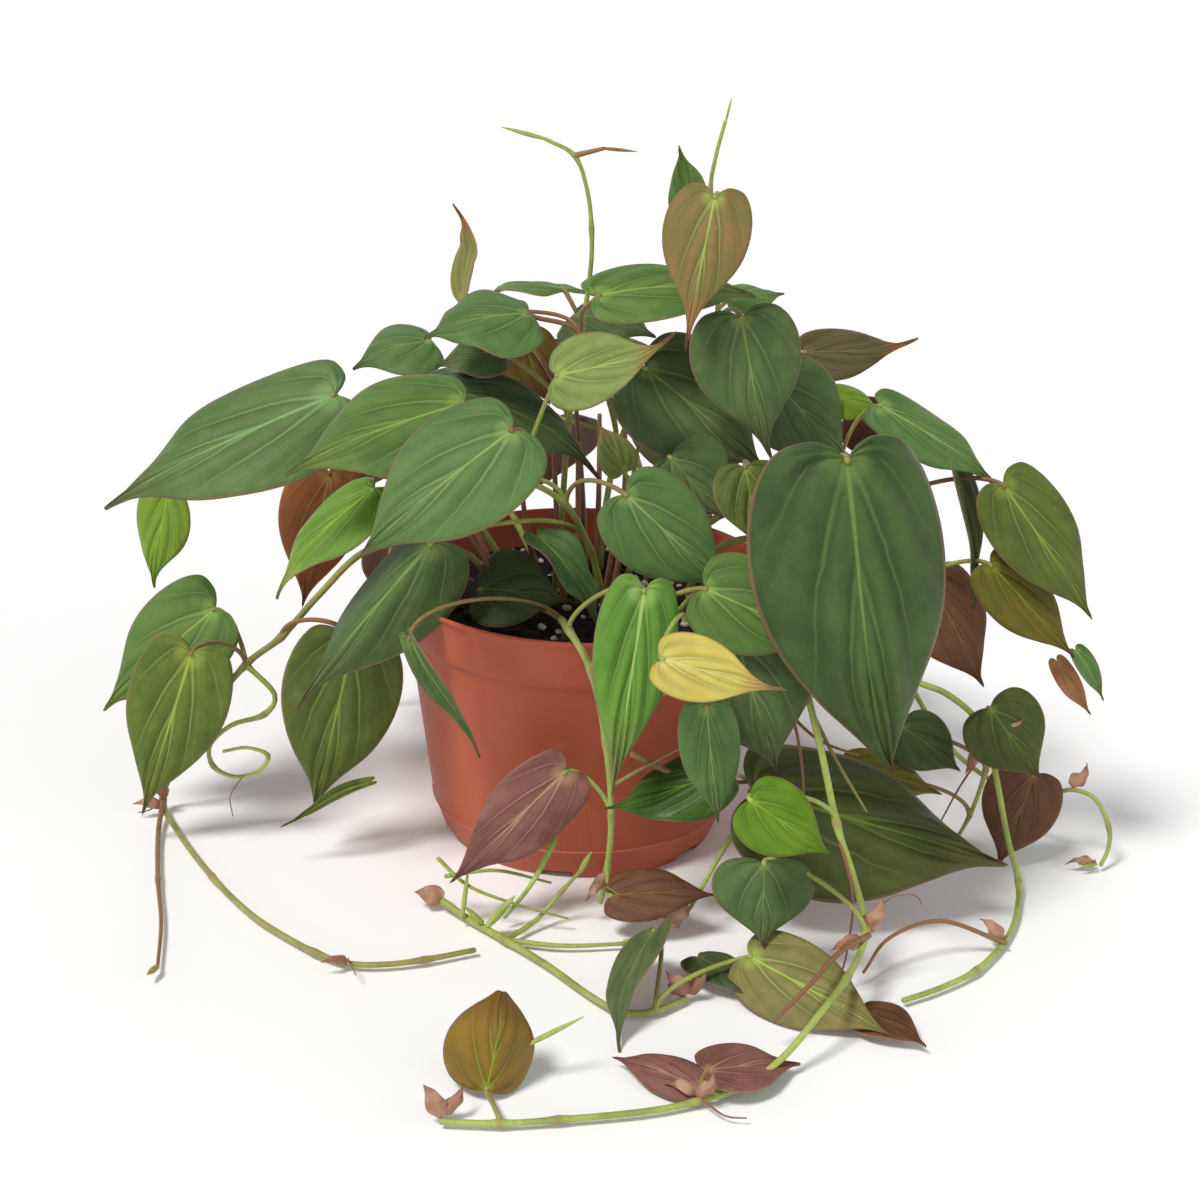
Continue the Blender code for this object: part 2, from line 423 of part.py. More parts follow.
def make_turned(name, profile, collection, finish=None):
    """A closed profile of (radius, height) points turned about the Z axis."""
    body = bmesh.new()
    verts = [body.verts.new((radius, 0.0, height)) for radius, height in profile]
    closed = profile[0][0] > 0.0 or profile[-1][0] > 0.0
    pairs = list(zip(verts, verts[1:])) + ([(verts[-1], verts[0])] if closed else [])
    for start, end in pairs:
        body.edges.new((start, end))
    mesh = bpy.data.meshes.new(name)
    body.to_mesh(mesh)
    body.free()
    obj = make_object(name, mesh, collection, finish)
    screw = obj.modifiers.new("Turn", "SCREW")
    screw.steps = TURN_STEPS
    screw.render_steps = TURN_STEPS
    screw.use_merge_vertices = True
    screw.merge_threshold = 0.00001
    screw.use_normal_calculate = True
    return obj


def make_cylinder(name, radius, depth, centre, sides, collection):
    """A plain cylinder with its caps."""
    body = bmesh.new()
    bmesh.ops.create_cone(body, cap_ends=True, segments=sides, radius1=radius, radius2=radius,
                          depth=depth)
    mesh = bpy.data.meshes.new(name)
    body.to_mesh(mesh)
    body.free()
    obj = make_object(name, mesh, collection)
    obj.location = centre
    return obj


def make_cube(name, collection):
    """A cube one metre wide, for its matrix to size and place."""
    body = bmesh.new()
    bmesh.ops.create_cube(body, size=1.0)
    mesh = bpy.data.meshes.new(name)
    body.to_mesh(mesh)
    body.free()
    return make_object(name, mesh, collection)


def make_pot(parts, cutters):
    """A thin wall with a rim band, a raised floor on a middle pad, foot notches and drain holes."""
    band_low = POT_HEIGHT - RIM_BAND_HEIGHT
    outside = [(FOOT_RADIUS, 0.0), (FOOT_LINE_RADIUS, FOOT_LINE_HEIGHT),
               (wall_radius(band_low - STEP_DROP), band_low - STEP_DROP),
               (RIM_BAND_LOW_RADIUS, band_low), (RIM_RADIUS - RIM_LIP, POT_HEIGHT - 2 * RIM_LIP),
               (RIM_RADIUS, POT_HEIGHT - RIM_LIP), (RIM_RADIUS - 0.4 * RIM_LIP, POT_HEIGHT)]
    inside = cavity_profile()[::-1] + [(0.0, FLOOR_RAISE + POT_WALL)]
    under = [(0.0, 0.0), (PAD_RADIUS, 0.0), (PAD_RADIUS, FLOOR_RAISE),
             (wall_radius(FLOOR_RAISE) - 2 * POT_WALL, FLOOR_RAISE), (FOOT_RADIUS - 2 * POT_WALL, 0.0)]
    pot = make_turned("pot", under + outside + inside, parts, "pot_plastic")
    cuts = new_collection("pot_cuts", cutters)
    for index in range(NOTCH_COUNT):
        turn = Matrix.Rotation(math.radians(FIRST_NOTCH_TURN) + index * math.tau / NOTCH_COUNT, 4, "Z")
        size = Matrix.Diagonal((NOTCH_REACH, NOTCH_WIDTH, 2 * NOTCH_HEIGHT, 1.0))
        notch = make_cube(f"notch_{index + 1}", cuts)
        notch.matrix_world = turn @ Matrix.Translation((FOOT_RADIUS, 0.0, 0.0)) @ size
        hide_helper(notch)
    for index in range(DRAIN_HOLE_COUNT):
        turn = (index + 0.5) * math.tau / DRAIN_HOLE_COUNT
        centre = (DRAIN_CIRCLE_RADIUS * math.cos(turn), DRAIN_CIRCLE_RADIUS * math.sin(turn),
                  FLOOR_RAISE)
        hide_helper(make_cylinder(f"drain_{index + 1}", DRAIN_HOLE_RADIUS, 4 * POT_WALL, centre,
                                  DRAIN_HOLE_SIDES, cuts))
    smooth(pot)
    return pot, cuts


def make_mix(parts, cutters, roots):
    """The potting mix: it fills the pot to a low crown, with a socket round each rooted stem."""
    sides = cavity_profile()
    (low_radius, low), (high_radius, high) = sides[-2:]
    edge = low_radius + (high_radius - low_radius) * (MIX_TOP - low) / (high - low) - CLEARANCE
    wall = [(radius - CLEARANCE, height) for radius, height in sides[:-1]]
    base = wall[0][1] + CLEARANCE
    shoulder, rise = MIX_SHOULDER
    profile = ([(0.0, base), (wall[0][0], base)] + wall[1:]
               + [(edge, MIX_TOP), (shoulder * edge, MIX_TOP + rise * MIX_CROWN), (0.0, MIX_PEAK)])
    mix = make_turned("potting_mix", profile, parts, "mix")
    sockets = new_collection("mix_sockets", cutters)
    bottom = MIX_PEAK - ROOTED_DEPTH - CLEARANCE
    top = MIX_PEAK + ROOTED_DEPTH
    reach = (VINE_RADIUS + CLEARANCE) / math.cos(math.pi / SOCKET_SIDES)
    for index, (x, y) in enumerate(roots):
        hide_helper(make_cylinder(f"socket_{index + 1}", reach, top - bottom,
                                  (x, y, 0.5 * (bottom + top)), SOCKET_SIDES, sockets))
    smooth(mix)
    return mix, sockets


# ---- leaves ---------------------------------------------------------------------------------
def seat(point):
    """A point of the plant in metres: it rises with the pot's rim and spreads with its width."""
    place = Vector(point) * CM
    spread = RIM_RADIUS / PLANTED_RIM
    lift = (POT_HEIGHT - PLANTED_HEIGHT) * min(1.0, place.z / PLANTED_HEIGHT)
    return Vector((place.x * spread, place.y * spread, place.z + lift))


def blade_frame(notch, tip, face):
    """Length, and the directions along the midrib, across it and out of the upper face."""
    face = Vector(face)
    along = (tip - notch).normalized()
    out = (face - face.dot(along) * along).normalized()
    return (tip - notch).length, along, out.cross(along), out


def heart_edge(rows):
    """The half outline at evenly spread places from the notch to the tip."""
    points = spline_points([(x, y, 0.0) for x, y in HEART], OUTLINE_STEP)
    return [points[round(row / rows * (len(points) - 1))] for row in range(rows + 1)]


def make_blade(name, leaf, collection, finish=None):
    """A heart-shaped blade: ribs fan from the notch, the midrib arches and the margins fall."""
    _, notch, tip, width, face, arch, fall, _ = leaf
    notch, tip = seat(notch), seat(tip)
    length, along, across, out = blade_frame(notch, tip, face)
    half = 0.5 * width * CM
    rows, ribs = (6, 2) if width >= JOINED_BLADE_WIDTH else (5, 1)
    edges = heart_edge(rows)
    body = bmesh.new()
    grid = []
    for row in range(rows + 1):
        edge = edges[row]
        root = max(0.0, (row / rows - FAN_SHARE) / (1.0 - FAN_SHARE)) ** FAN_POWER
        line = []
        for rib in range(-ribs, ribs + 1):
            share = abs(rib) / ribs
            x = root + (edge.x - root) * share
            y = math.copysign(edge.y * share, rib) if rib else 0.0
            lift = 4.0 * arch * length * x * (1.0 - x)
            drop = abs(y) * half * math.tan(math.radians(fall))
            line.append(body.verts.new((x * length, y * half, lift - drop)))
        grid.append(line)
    for lower, upper in zip(grid, grid[1:]):
        for index in range(2 * ribs):
            body.faces.new((lower[index], upper[index], upper[index + 1], lower[index + 1]))
    bmesh.ops.remove_doubles(body, verts=body.verts, dist=1e-5)
    bmesh.ops.recalc_face_normals(body, faces=body.faces)
    mesh = bpy.data.meshes.new(name)
    body.to_mesh(mesh)
    body.free()
    blade = make_object(name, mesh, collection, finish)
    turn = Matrix((along, across, out)).transposed().to_4x4()
    blade.matrix_world = Matrix.Translation(notch) @ turn
    solid = blade.modifiers.new("Thickness", "SOLIDIFY")
    solid.thickness = BLADE_THICKNESS
    solid.offset = 0.0
    smooth(blade, 60.0)
    return blade


def stalk_points(leaf, joints, joined):
    """A stalk from the nearest lower joint of the vine up and over to the underside of the blade."""
    _, notch, tip, _, face, _, _, _ = leaf
    notch, tip = seat(notch), seat(tip)
    _, along, _, out = blade_frame(notch, tip, face)
    inset = 0.0 if joined else 0.5 * BLADE_THICKNESS + CLEARANCE + 0.5 * STALK_RADIUS
    end = notch - out * inset
    def cost(joint):
        """Prefer the nearest joint, unless it is beside the blade or above it."""
        rise = notch.z - joint.z
        reach = (notch - joint).length
        return reach + 3.0 * max(0.0, STALK_LEAST_RISE - rise) + 2.0 * max(0.0, STALK_LEAST_REACH - reach)

    start = min(joints, key=cost)
    reach = (end - start).length
    rise = start + Vector((0.0, 0.0, STALK_RISE * reach)) + STALK_LEAN * (end - start)
    under, behind = STALK_MEET
    meet = end - out * under * reach - along * behind * reach
    points = []
    for index in range(STALK_POINTS):
        t = index / (STALK_POINTS - 1)
        points.append((1 - t) ** 3 * start + 3 * t * (1 - t) ** 2 * rise
                      + 3 * t * t * (1 - t) * meet + t ** 3 * end)
    return points


# ---- vines ----------------------------------------------------------------------------------
def root_place(root):
    """Where a vine leaves the mix, in metres."""
    return seat((*root, 0.0)).xy


def vine_route(name):
    """The vine's own points in metres, from the rooted end."""
    root, points = VINES[name]
    route = [seat(point) for point in points]
    if root is None:
        return route
    x, y = root_place(root)
    return [Vector((x, y, MIX_PEAK - ROOTED_DEPTH)), Vector((x, y, MIX_PEAK + ROOTED_RISE))] + route


def make_vine(name, parts, helpers):
    """One vine: its stem, side shoots, leaf stalks and smallest blades, joined to one body."""
    route = vine_route(name)
    rooted = 0 if VINES[name][0] is None else 1
    stem_points = route[:rooted] + spline_points(route[rooted:], VINE_STEP)
    stem = make_tube(name, stem_points, VINE_RADIUS, parts, tip_share=VINE_TIP_SHARE)
    stem.data.materials.append(bpy.data.materials["stem_green"])
    joined = new_collection(name + "_joined", helpers)
    joints = route[rooted:-1]
    for shoot, (owner, points) in SHOOTS.items():
        if owner == name:
            path = [seat(point) for point in points]
            joints = joints + path[1:-1]
            hide_helper(make_tube(shoot, spline_points(path, VINE_STEP), SHOOT_RADIUS, joined,
                                  tip_share=SHOOT_TIP_SHARE))
    for leaf_name, leaf in LEAVES.items():
        if leaf[0] != name:
            continue
        small = leaf[3] < JOINED_BLADE_WIDTH
        path = stalk_points(leaf, joints, small)
        hide_helper(make_tube(leaf_name + "_stalk", path, STALK_RADIUS, joined, sides=0))
        if small:
            hide_helper(make_blade(leaf_name, leaf, joined))
    smooth(stem, 50.0)
    return stem, joined


def main():
    """Build every part."""
    for obj in list(bpy.data.objects):
        bpy.data.objects.remove(obj)
    parts = new_collection("potted_philodendron", bpy.context.scene.collection)
    helpers = new_collection("joined_and_cut", bpy.context.scene.collection)
    for name in FINISHES:
        make_material(name)
    pot, pot_cuts = make_pot(parts, helpers)
    roots = [root_place(root) for root, _ in VINES.values() if root]
    mix, sockets = make_mix(parts, helpers, roots)
    vines = [make_vine(name, parts, helpers) for name in VINES]
    for name, leaf in LEAVES.items():
        if leaf[3] >= JOINED_BLADE_WIDTH:
            make_blade(name, leaf, parts, leaf[7])
    add_boolean(pot, "DIFFERENCE", pot_cuts)
    add_boolean(mix, "DIFFERENCE", sockets)
    for stem, joined in vines:
        add_boolean(stem, "UNION", joined)


main()
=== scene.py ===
"""Potted heart-leaf philodendron: the looks of the pot, the potting mix, the vines with their leaf
stalks, the velvety leaves and the small growth at the nodes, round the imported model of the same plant.

Metres, +Z up.  The origin is the middle of the pot's foot.  Run it as a script: main() calls one
operator for each group of pieces and one for the stage."""

import math
import random

import bmesh
import bpy
import numpy as np
from bpy.props import FloatProperty, FloatVectorProperty, IntProperty, PointerProperty
from mathutils import Matrix, Vector


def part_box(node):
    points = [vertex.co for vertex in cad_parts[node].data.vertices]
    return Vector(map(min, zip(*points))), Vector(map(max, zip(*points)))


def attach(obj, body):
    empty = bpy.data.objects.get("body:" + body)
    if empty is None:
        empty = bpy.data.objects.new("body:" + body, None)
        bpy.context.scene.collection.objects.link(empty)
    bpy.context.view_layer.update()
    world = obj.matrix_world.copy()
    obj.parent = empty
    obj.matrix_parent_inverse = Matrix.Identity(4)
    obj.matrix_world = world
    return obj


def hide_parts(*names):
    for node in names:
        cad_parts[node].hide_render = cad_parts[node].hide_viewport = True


bl_info = {
    "name": "Potted philodendron",
    "version": (1, 0, 0),
    "blender": (4, 5, 0),
    "location": "3D View > Sidebar > Philodendron",
    "description": "Makes a potted heart-leaf philodendron round its packed model",
    "category": "Object",
}

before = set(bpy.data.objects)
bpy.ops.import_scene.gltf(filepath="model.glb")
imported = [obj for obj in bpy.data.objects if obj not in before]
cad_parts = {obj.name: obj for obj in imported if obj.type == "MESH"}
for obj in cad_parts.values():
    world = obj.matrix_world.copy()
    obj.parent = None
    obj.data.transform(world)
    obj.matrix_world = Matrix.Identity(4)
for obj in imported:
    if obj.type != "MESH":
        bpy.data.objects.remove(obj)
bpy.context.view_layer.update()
POT_LOW, POT_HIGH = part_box("pot")
MIX_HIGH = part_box("potting_mix")[1]

CM = 0.01
MM = 0.001
ONLY_BODY = "root"

# ---- the pot's form, from the foot up ---------------------------------------------------------
POT_HEIGHT = POT_HIGH[2] - POT_LOW[2]
RIM_RADIUS = 0.5 * (POT_HIGH[0] - POT_LOW[0])
RIM_BAND_HEIGHT = 0.0200
RIM_BAND_LOW_RADIUS = 0.0730
BODY_TOP_RADIUS = 0.0712
FOOT_RADIUS = 0.0560
FOOT_LINE_HEIGHT = 0.0135
FOOT_LINE_RADIUS = 0.0607
FOOT_LINE_REACH = 0.0005
POT_WALL = 0.0013
RIM_LIP = 0.0010
STEP_DROP = 0.0012
FLOOR_RAISE = 0.0035
PAD_RADIUS = 0.009
# Blades stay this far above the floor.
FLOOR_GAP = 0.0005
NOTCH_COUNT = 6
NOTCH_WIDTH = 0.013
NOTCH_HEIGHT = 0.003
NOTCH_REACH = 0.012
FIRST_NOTCH_TURN = -98.0
DRAIN_HOLE_RADIUS = 0.0045
DRAIN_HOLE_COUNT = 6
DRAIN_HOLE_SIDES = 32
DRAIN_CIRCLE_RADIUS = 0.036
TURN_STEPS = 144

# ---- the plant's form -------------------------------------------------------------------------
MIX_CROWN = 0.004
MIX_TOP = MIX_HIGH[2] - MIX_CROWN
MIX_PEAK = MIX_HIGH[2]
MIX_GAP = 0.0003
MIX_RINGS = 48
MIX_STEPS = 120
# Grains on the mix: least and largest size, and their form along, across and up.
PERLITE_SIZES = (0.0007, 0.0019)
PERLITE_FORM = (1.0, 1.0, 0.8)
BARK_SIZES = (0.0010, 0.0032)
BARK_FORM = (1.6, 0.6, 0.35)
GRAIN_MARGIN = 0.004
GRAIN_CRUMPLE = 0.13
ROOTED_DEPTH = 0.016
ROOTED_RISE = 0.002
STALK_RISE = 0.30
STALK_LEAN = 0.05
STALK_MEET = (0.22, 0.18)
STALK_LEAST_RISE = 0.010
STALK_LEAST_REACH = 0.018

# How closely stems are drawn, and how far a node's swelling and its scar reach.
STEM_STEP = 0.0022
KNOT_REACH = 0.0028
KNOT_SWELL = 0.38
SCAR_REACH = 0.0011
# A stalk's thickness on a blade of no width, and what each centimetre of width adds, as shares.
STALK_THICKNESS = (0.80, 0.06)
# The collars at a stalk's foot and head: how much they add, and how far they reach along it.
FOOT_COLLAR = (0.45, 0.05)
HEAD_COLLAR = (0.16, 0.07)
BRACT_HABIT = {"curl": 0.22, "sweep": 0.10, "twist": 35.0, "wave": 0.10, "quilt": 0.0, "drip": 0.0,
               "fold": 0.0}
BRACT_ARCH = 0.12
BRACT_FALL = 40.0
BUD_STEPS = 10
OLD_STALK_RADIUS = 0.0011
OLD_STALK_BOW = 0.006

# The outline of half a blade: share of the length from the notch, share of the half width.
HEART = ((0.0, 0.0), (-0.05, 0.13), (-0.075, 0.36), (-0.045, 0.68), (0.07, 0.90), (0.24, 1.0),
         (0.42, 0.96), (0.58, 0.79), (0.73, 0.50), (0.84, 0.25), (0.92, 0.10), (0.965, 0.04), (1.0, 0.0))
DRIP = ((0.0, 0.0), (-0.05, 0.13), (-0.080, 0.36), (-0.055, 0.68), (0.06, 0.92), (0.21, 1.0),
        (0.36, 0.93), (0.49, 0.74), (0.61, 0.46), (0.72, 0.22), (0.82, 0.09), (0.92, 0.04), (1.0, 0.0))
LANCE = ((0.0, 0.0), (0.02, 0.45), (0.15, 0.85), (0.35, 1.0), (0.60, 0.78), (0.82, 0.36), (1.0, 0.0))
FAN_SHARE = 0.34
FAN_POWER = 1.1

# Veins run out of the notch and bend towards the tip: how many meet each margin, and how far they bend.
VEIN_COUNT = 4.0
VEIN_BEND = 0.42
VEIN_POWER = 1.5

# ---- vines: points in centimetres, from the rooted end to the growing tip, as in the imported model
VINES = {
    "vine_left": ((-3.4, -1.4), ((-4.4, -1.7, 11.9), (-6.4, -2.0, 12.6), (-8.6, -2.2, 12.2),
                  (-10.4, -2.4, 10.4), (-11.9, -2.4, 8.6), (-13.4, -2.0, 7.2), (-15.1, -1.6, 4.9),
                  (-16.5, -1.1, 2.4), (-17.2, -1.0, 0.6), (-16.2, -3.2, 0.3), (-14.1, -7.0, 0.3),
                  (-12.3, -9.6, 0.3), (-10.9, -11.1, 0.3), (-9.4, -12.4, 0.3), (-8.1, -13.1, 0.3),
                  (-6.8, -13.1, 0.3), (-5.4, -12.7, 0.3), (-3.6, -11.9, 0.3))),
    "vine_front": ((-0.6, -4.6), ((-0.8, -5.9, 11.1), (-0.5, -7.8, 11.5), (0.4, -8.7, 10.2),
                   (1.0, -8.9, 7.5), (1.3, -8.9, 4.5), (1.2, -8.7, 2.0), (1.0, -8.4, 0.5))),
    "vine_loop": ((3.4, -3.2), ((4.6, -4.6, 12.0), (6.2, -6.4, 12.5), (7.6, -8.4, 11.6),
                  (8.6, -10.4, 8.8), (9.4, -11.6, 5.8), (10.1, -12.2, 3.9), (10.5, -13.4, 2.4),
                  (9.6, -16.2, 2.2), (8.5, -18.0, 1.8), (7.3, -19.2, 0.9), (6.0, -20.2, 0.4),
                  (4.4, -21.1, 0.3), (2.6, -21.8, 0.3), (-0.2, -22.4, 0.3), (-2.1, -22.7, 0.3),
                  (-4.0, -22.7, 0.3))),
    "vine_arc": ((4.2, 0.4), ((5.4, 0.2, 12.0), (7.4, -0.4, 12.6), (9.4, -1.4, 12.0),
                 (11.4, -2.2, 9.6), (12.8, -2.7, 7.9), (14.3, -3.2, 7.4), (15.4, -3.7, 6.7),
                 (16.0, -4.2, 5.8), (16.5, -4.6, 4.0), (17.0, -5.0, 2.0), (17.4, -6.0, 0.6),
                 (16.9, -8.4, 0.3), (16.1, -10.3, 0.3), (14.8, -12.3, 0.3), (13.3, -13.6, 0.3),
                 (11.9, -14.5, 0.3))),
    "vine_curl": ((3.0, 3.2), ((4.4, 4.6, 12.0), (6.4, 6.0, 12.6), (8.6, 6.4, 11.8),
                  (11.0, 5.8, 9.0), (13.4, 4.4, 5.6), (15.4, 2.0, 2.9), (17.4, -0.4, 2.1),
                  (18.9, -1.8, 2.4), (19.9, -2.5, 3.0), (20.8, -2.9, 2.8), (21.4, -3.2, 1.7),
                  (21.4, -3.5, 0.9), (21.1, -3.8, 0.3))),
    "vine_crown": ((-1.2, 0.6), ((-1.0, 0.4, 13.0), (-0.8, 0.1, 17.0), (-0.4, -0.2, 20.5),
                   (-0.1, -0.5, 23.2), (-0.1, -0.6, 24.8), (-0.3, -0.8, 26.3), (-0.8, -1.0, 27.6),
                   (-1.9, -1.1, 28.2))),
    "vine_spire": ((1.6, 0.9), ((2.6, 0.6, 13.0), (3.8, 0.2, 17.0), (4.7, -0.3, 20.5),
                   (4.7, -0.6, 24.1), (4.3, -0.8, 26.3), (4.4, -0.9, 27.6), (4.7, -1.0, 29.0))),
    "vine_mound_left": ((-3.0, 1.4), ((-4.6, 1.2, 12.6), (-6.4, 0.8, 14.4), (-8.4, 0.4, 15.4),
                        (-10.6, 0.4, 15.6), (-13.0, 0.4, 15.0))),
    "vine_mound_front": ((0.8, -1.2), ((0.2, -1.8, 12.4), (-0.8, -2.8, 14.6), (-2.4, -3.8, 15.8),
                         (-4.2, -4.6, 15.6))),
    "vine_mound_right": ((2.8, -1.0), ((3.8, -1.8, 12.4), (4.8, -3.0, 14.2), (6.4, -4.2, 15.2),
                         (8.2, -4.8, 15.6))),
    "vine_back": ((0.6, 3.6), ((0.8, 5.2, 12.2), (1.2, 7.0, 13.6), (2.0, 9.2, 12.8),
                  (2.6, 10.8, 10.2), (2.9, 11.6, 7.0), (2.6, 12.0, 3.6), (1.6, 12.6, 0.9),
                  (-0.8, 13.6, 0.3), (-3.8, 14.2, 0.3))),
    "vine_back_left": ((-2.2, 3.6), ((-3.6, 5.0, 12.0), (-5.6, 6.6, 12.6), (-7.4, 8.0, 11.2),
                       (-8.6, 8.8, 8.4), (-9.2, 9.2, 5.0), (-9.6, 10.0, 1.6), (-10.6, 11.4, 0.3),
                       (-12.6, 12.6, 0.3))),
    "vine_floor": (None, ((-5.0, -8.7, 0.5), (-3.9, -9.7, 0.3), (-2.5, -11.1, 0.3),
                   (-0.9, -12.8, 0.3), (0.7, -14.8, 0.3), (1.8, -15.8, 0.3), (3.0, -15.7, 0.3),
                   (4.1, -14.8, 0.3))),
}

# Side shoots: their vine, then the points from the joint outwards.
SHOOTS = {
    "left_runner": ("vine_left", ((-17.2, -1.0, 0.6), (-16.9, -3.6, 0.3), (-16.2, -7.2, 0.3),
                    (-15.4, -10.6, 0.3), (-14.9, -13.8, 0.3))),
    "left_curl": ("vine_left", ((-13.4, -2.0, 7.2), (-12.2, -2.6, 6.2), (-12.6, -2.8, 5.4),
                  (-13.9, -2.8, 4.9), (-14.8, -2.8, 4.0), (-14.7, -2.9, 3.1), (-13.8, -3.0, 2.7),
                  (-12.8, -3.2, 3.1), (-12.4, -3.4, 3.9), (-13.2, -3.6, 4.3), (-14.1, -3.8, 4.2))),
    "loop_spur": ("vine_loop", ((7.6, -8.4, 11.6), (7.7, -6.7, 9.2), (7.4, -5.8, 6.4),
                  (6.8, -6.4, 3.8), (6.4, -7.2, 2.6))),
    "right_strand": ("vine_arc", ((16.0, -4.2, 5.8), (16.1, -3.8, 4.4), (15.7, -3.5, 2.2),
                     (14.9, -3.4, 0.3))),
    "floor_link": ("vine_floor", ((-2.5, -11.1, 0.3), (-1.4, -9.9, 0.5), (-0.5, -9.3, 1.4),
                   (0.2, -9.5, 2.4))),
    "floor_runner": ("vine_floor", ((-2.5, -11.1, 0.3), (-0.4, -11.4, 0.3), (2.0, -11.1, 0.3))),
    "crown_fork": ("vine_crown", ((-0.8, -1.0, 27.6), (0.3, -1.0, 27.9))),
}

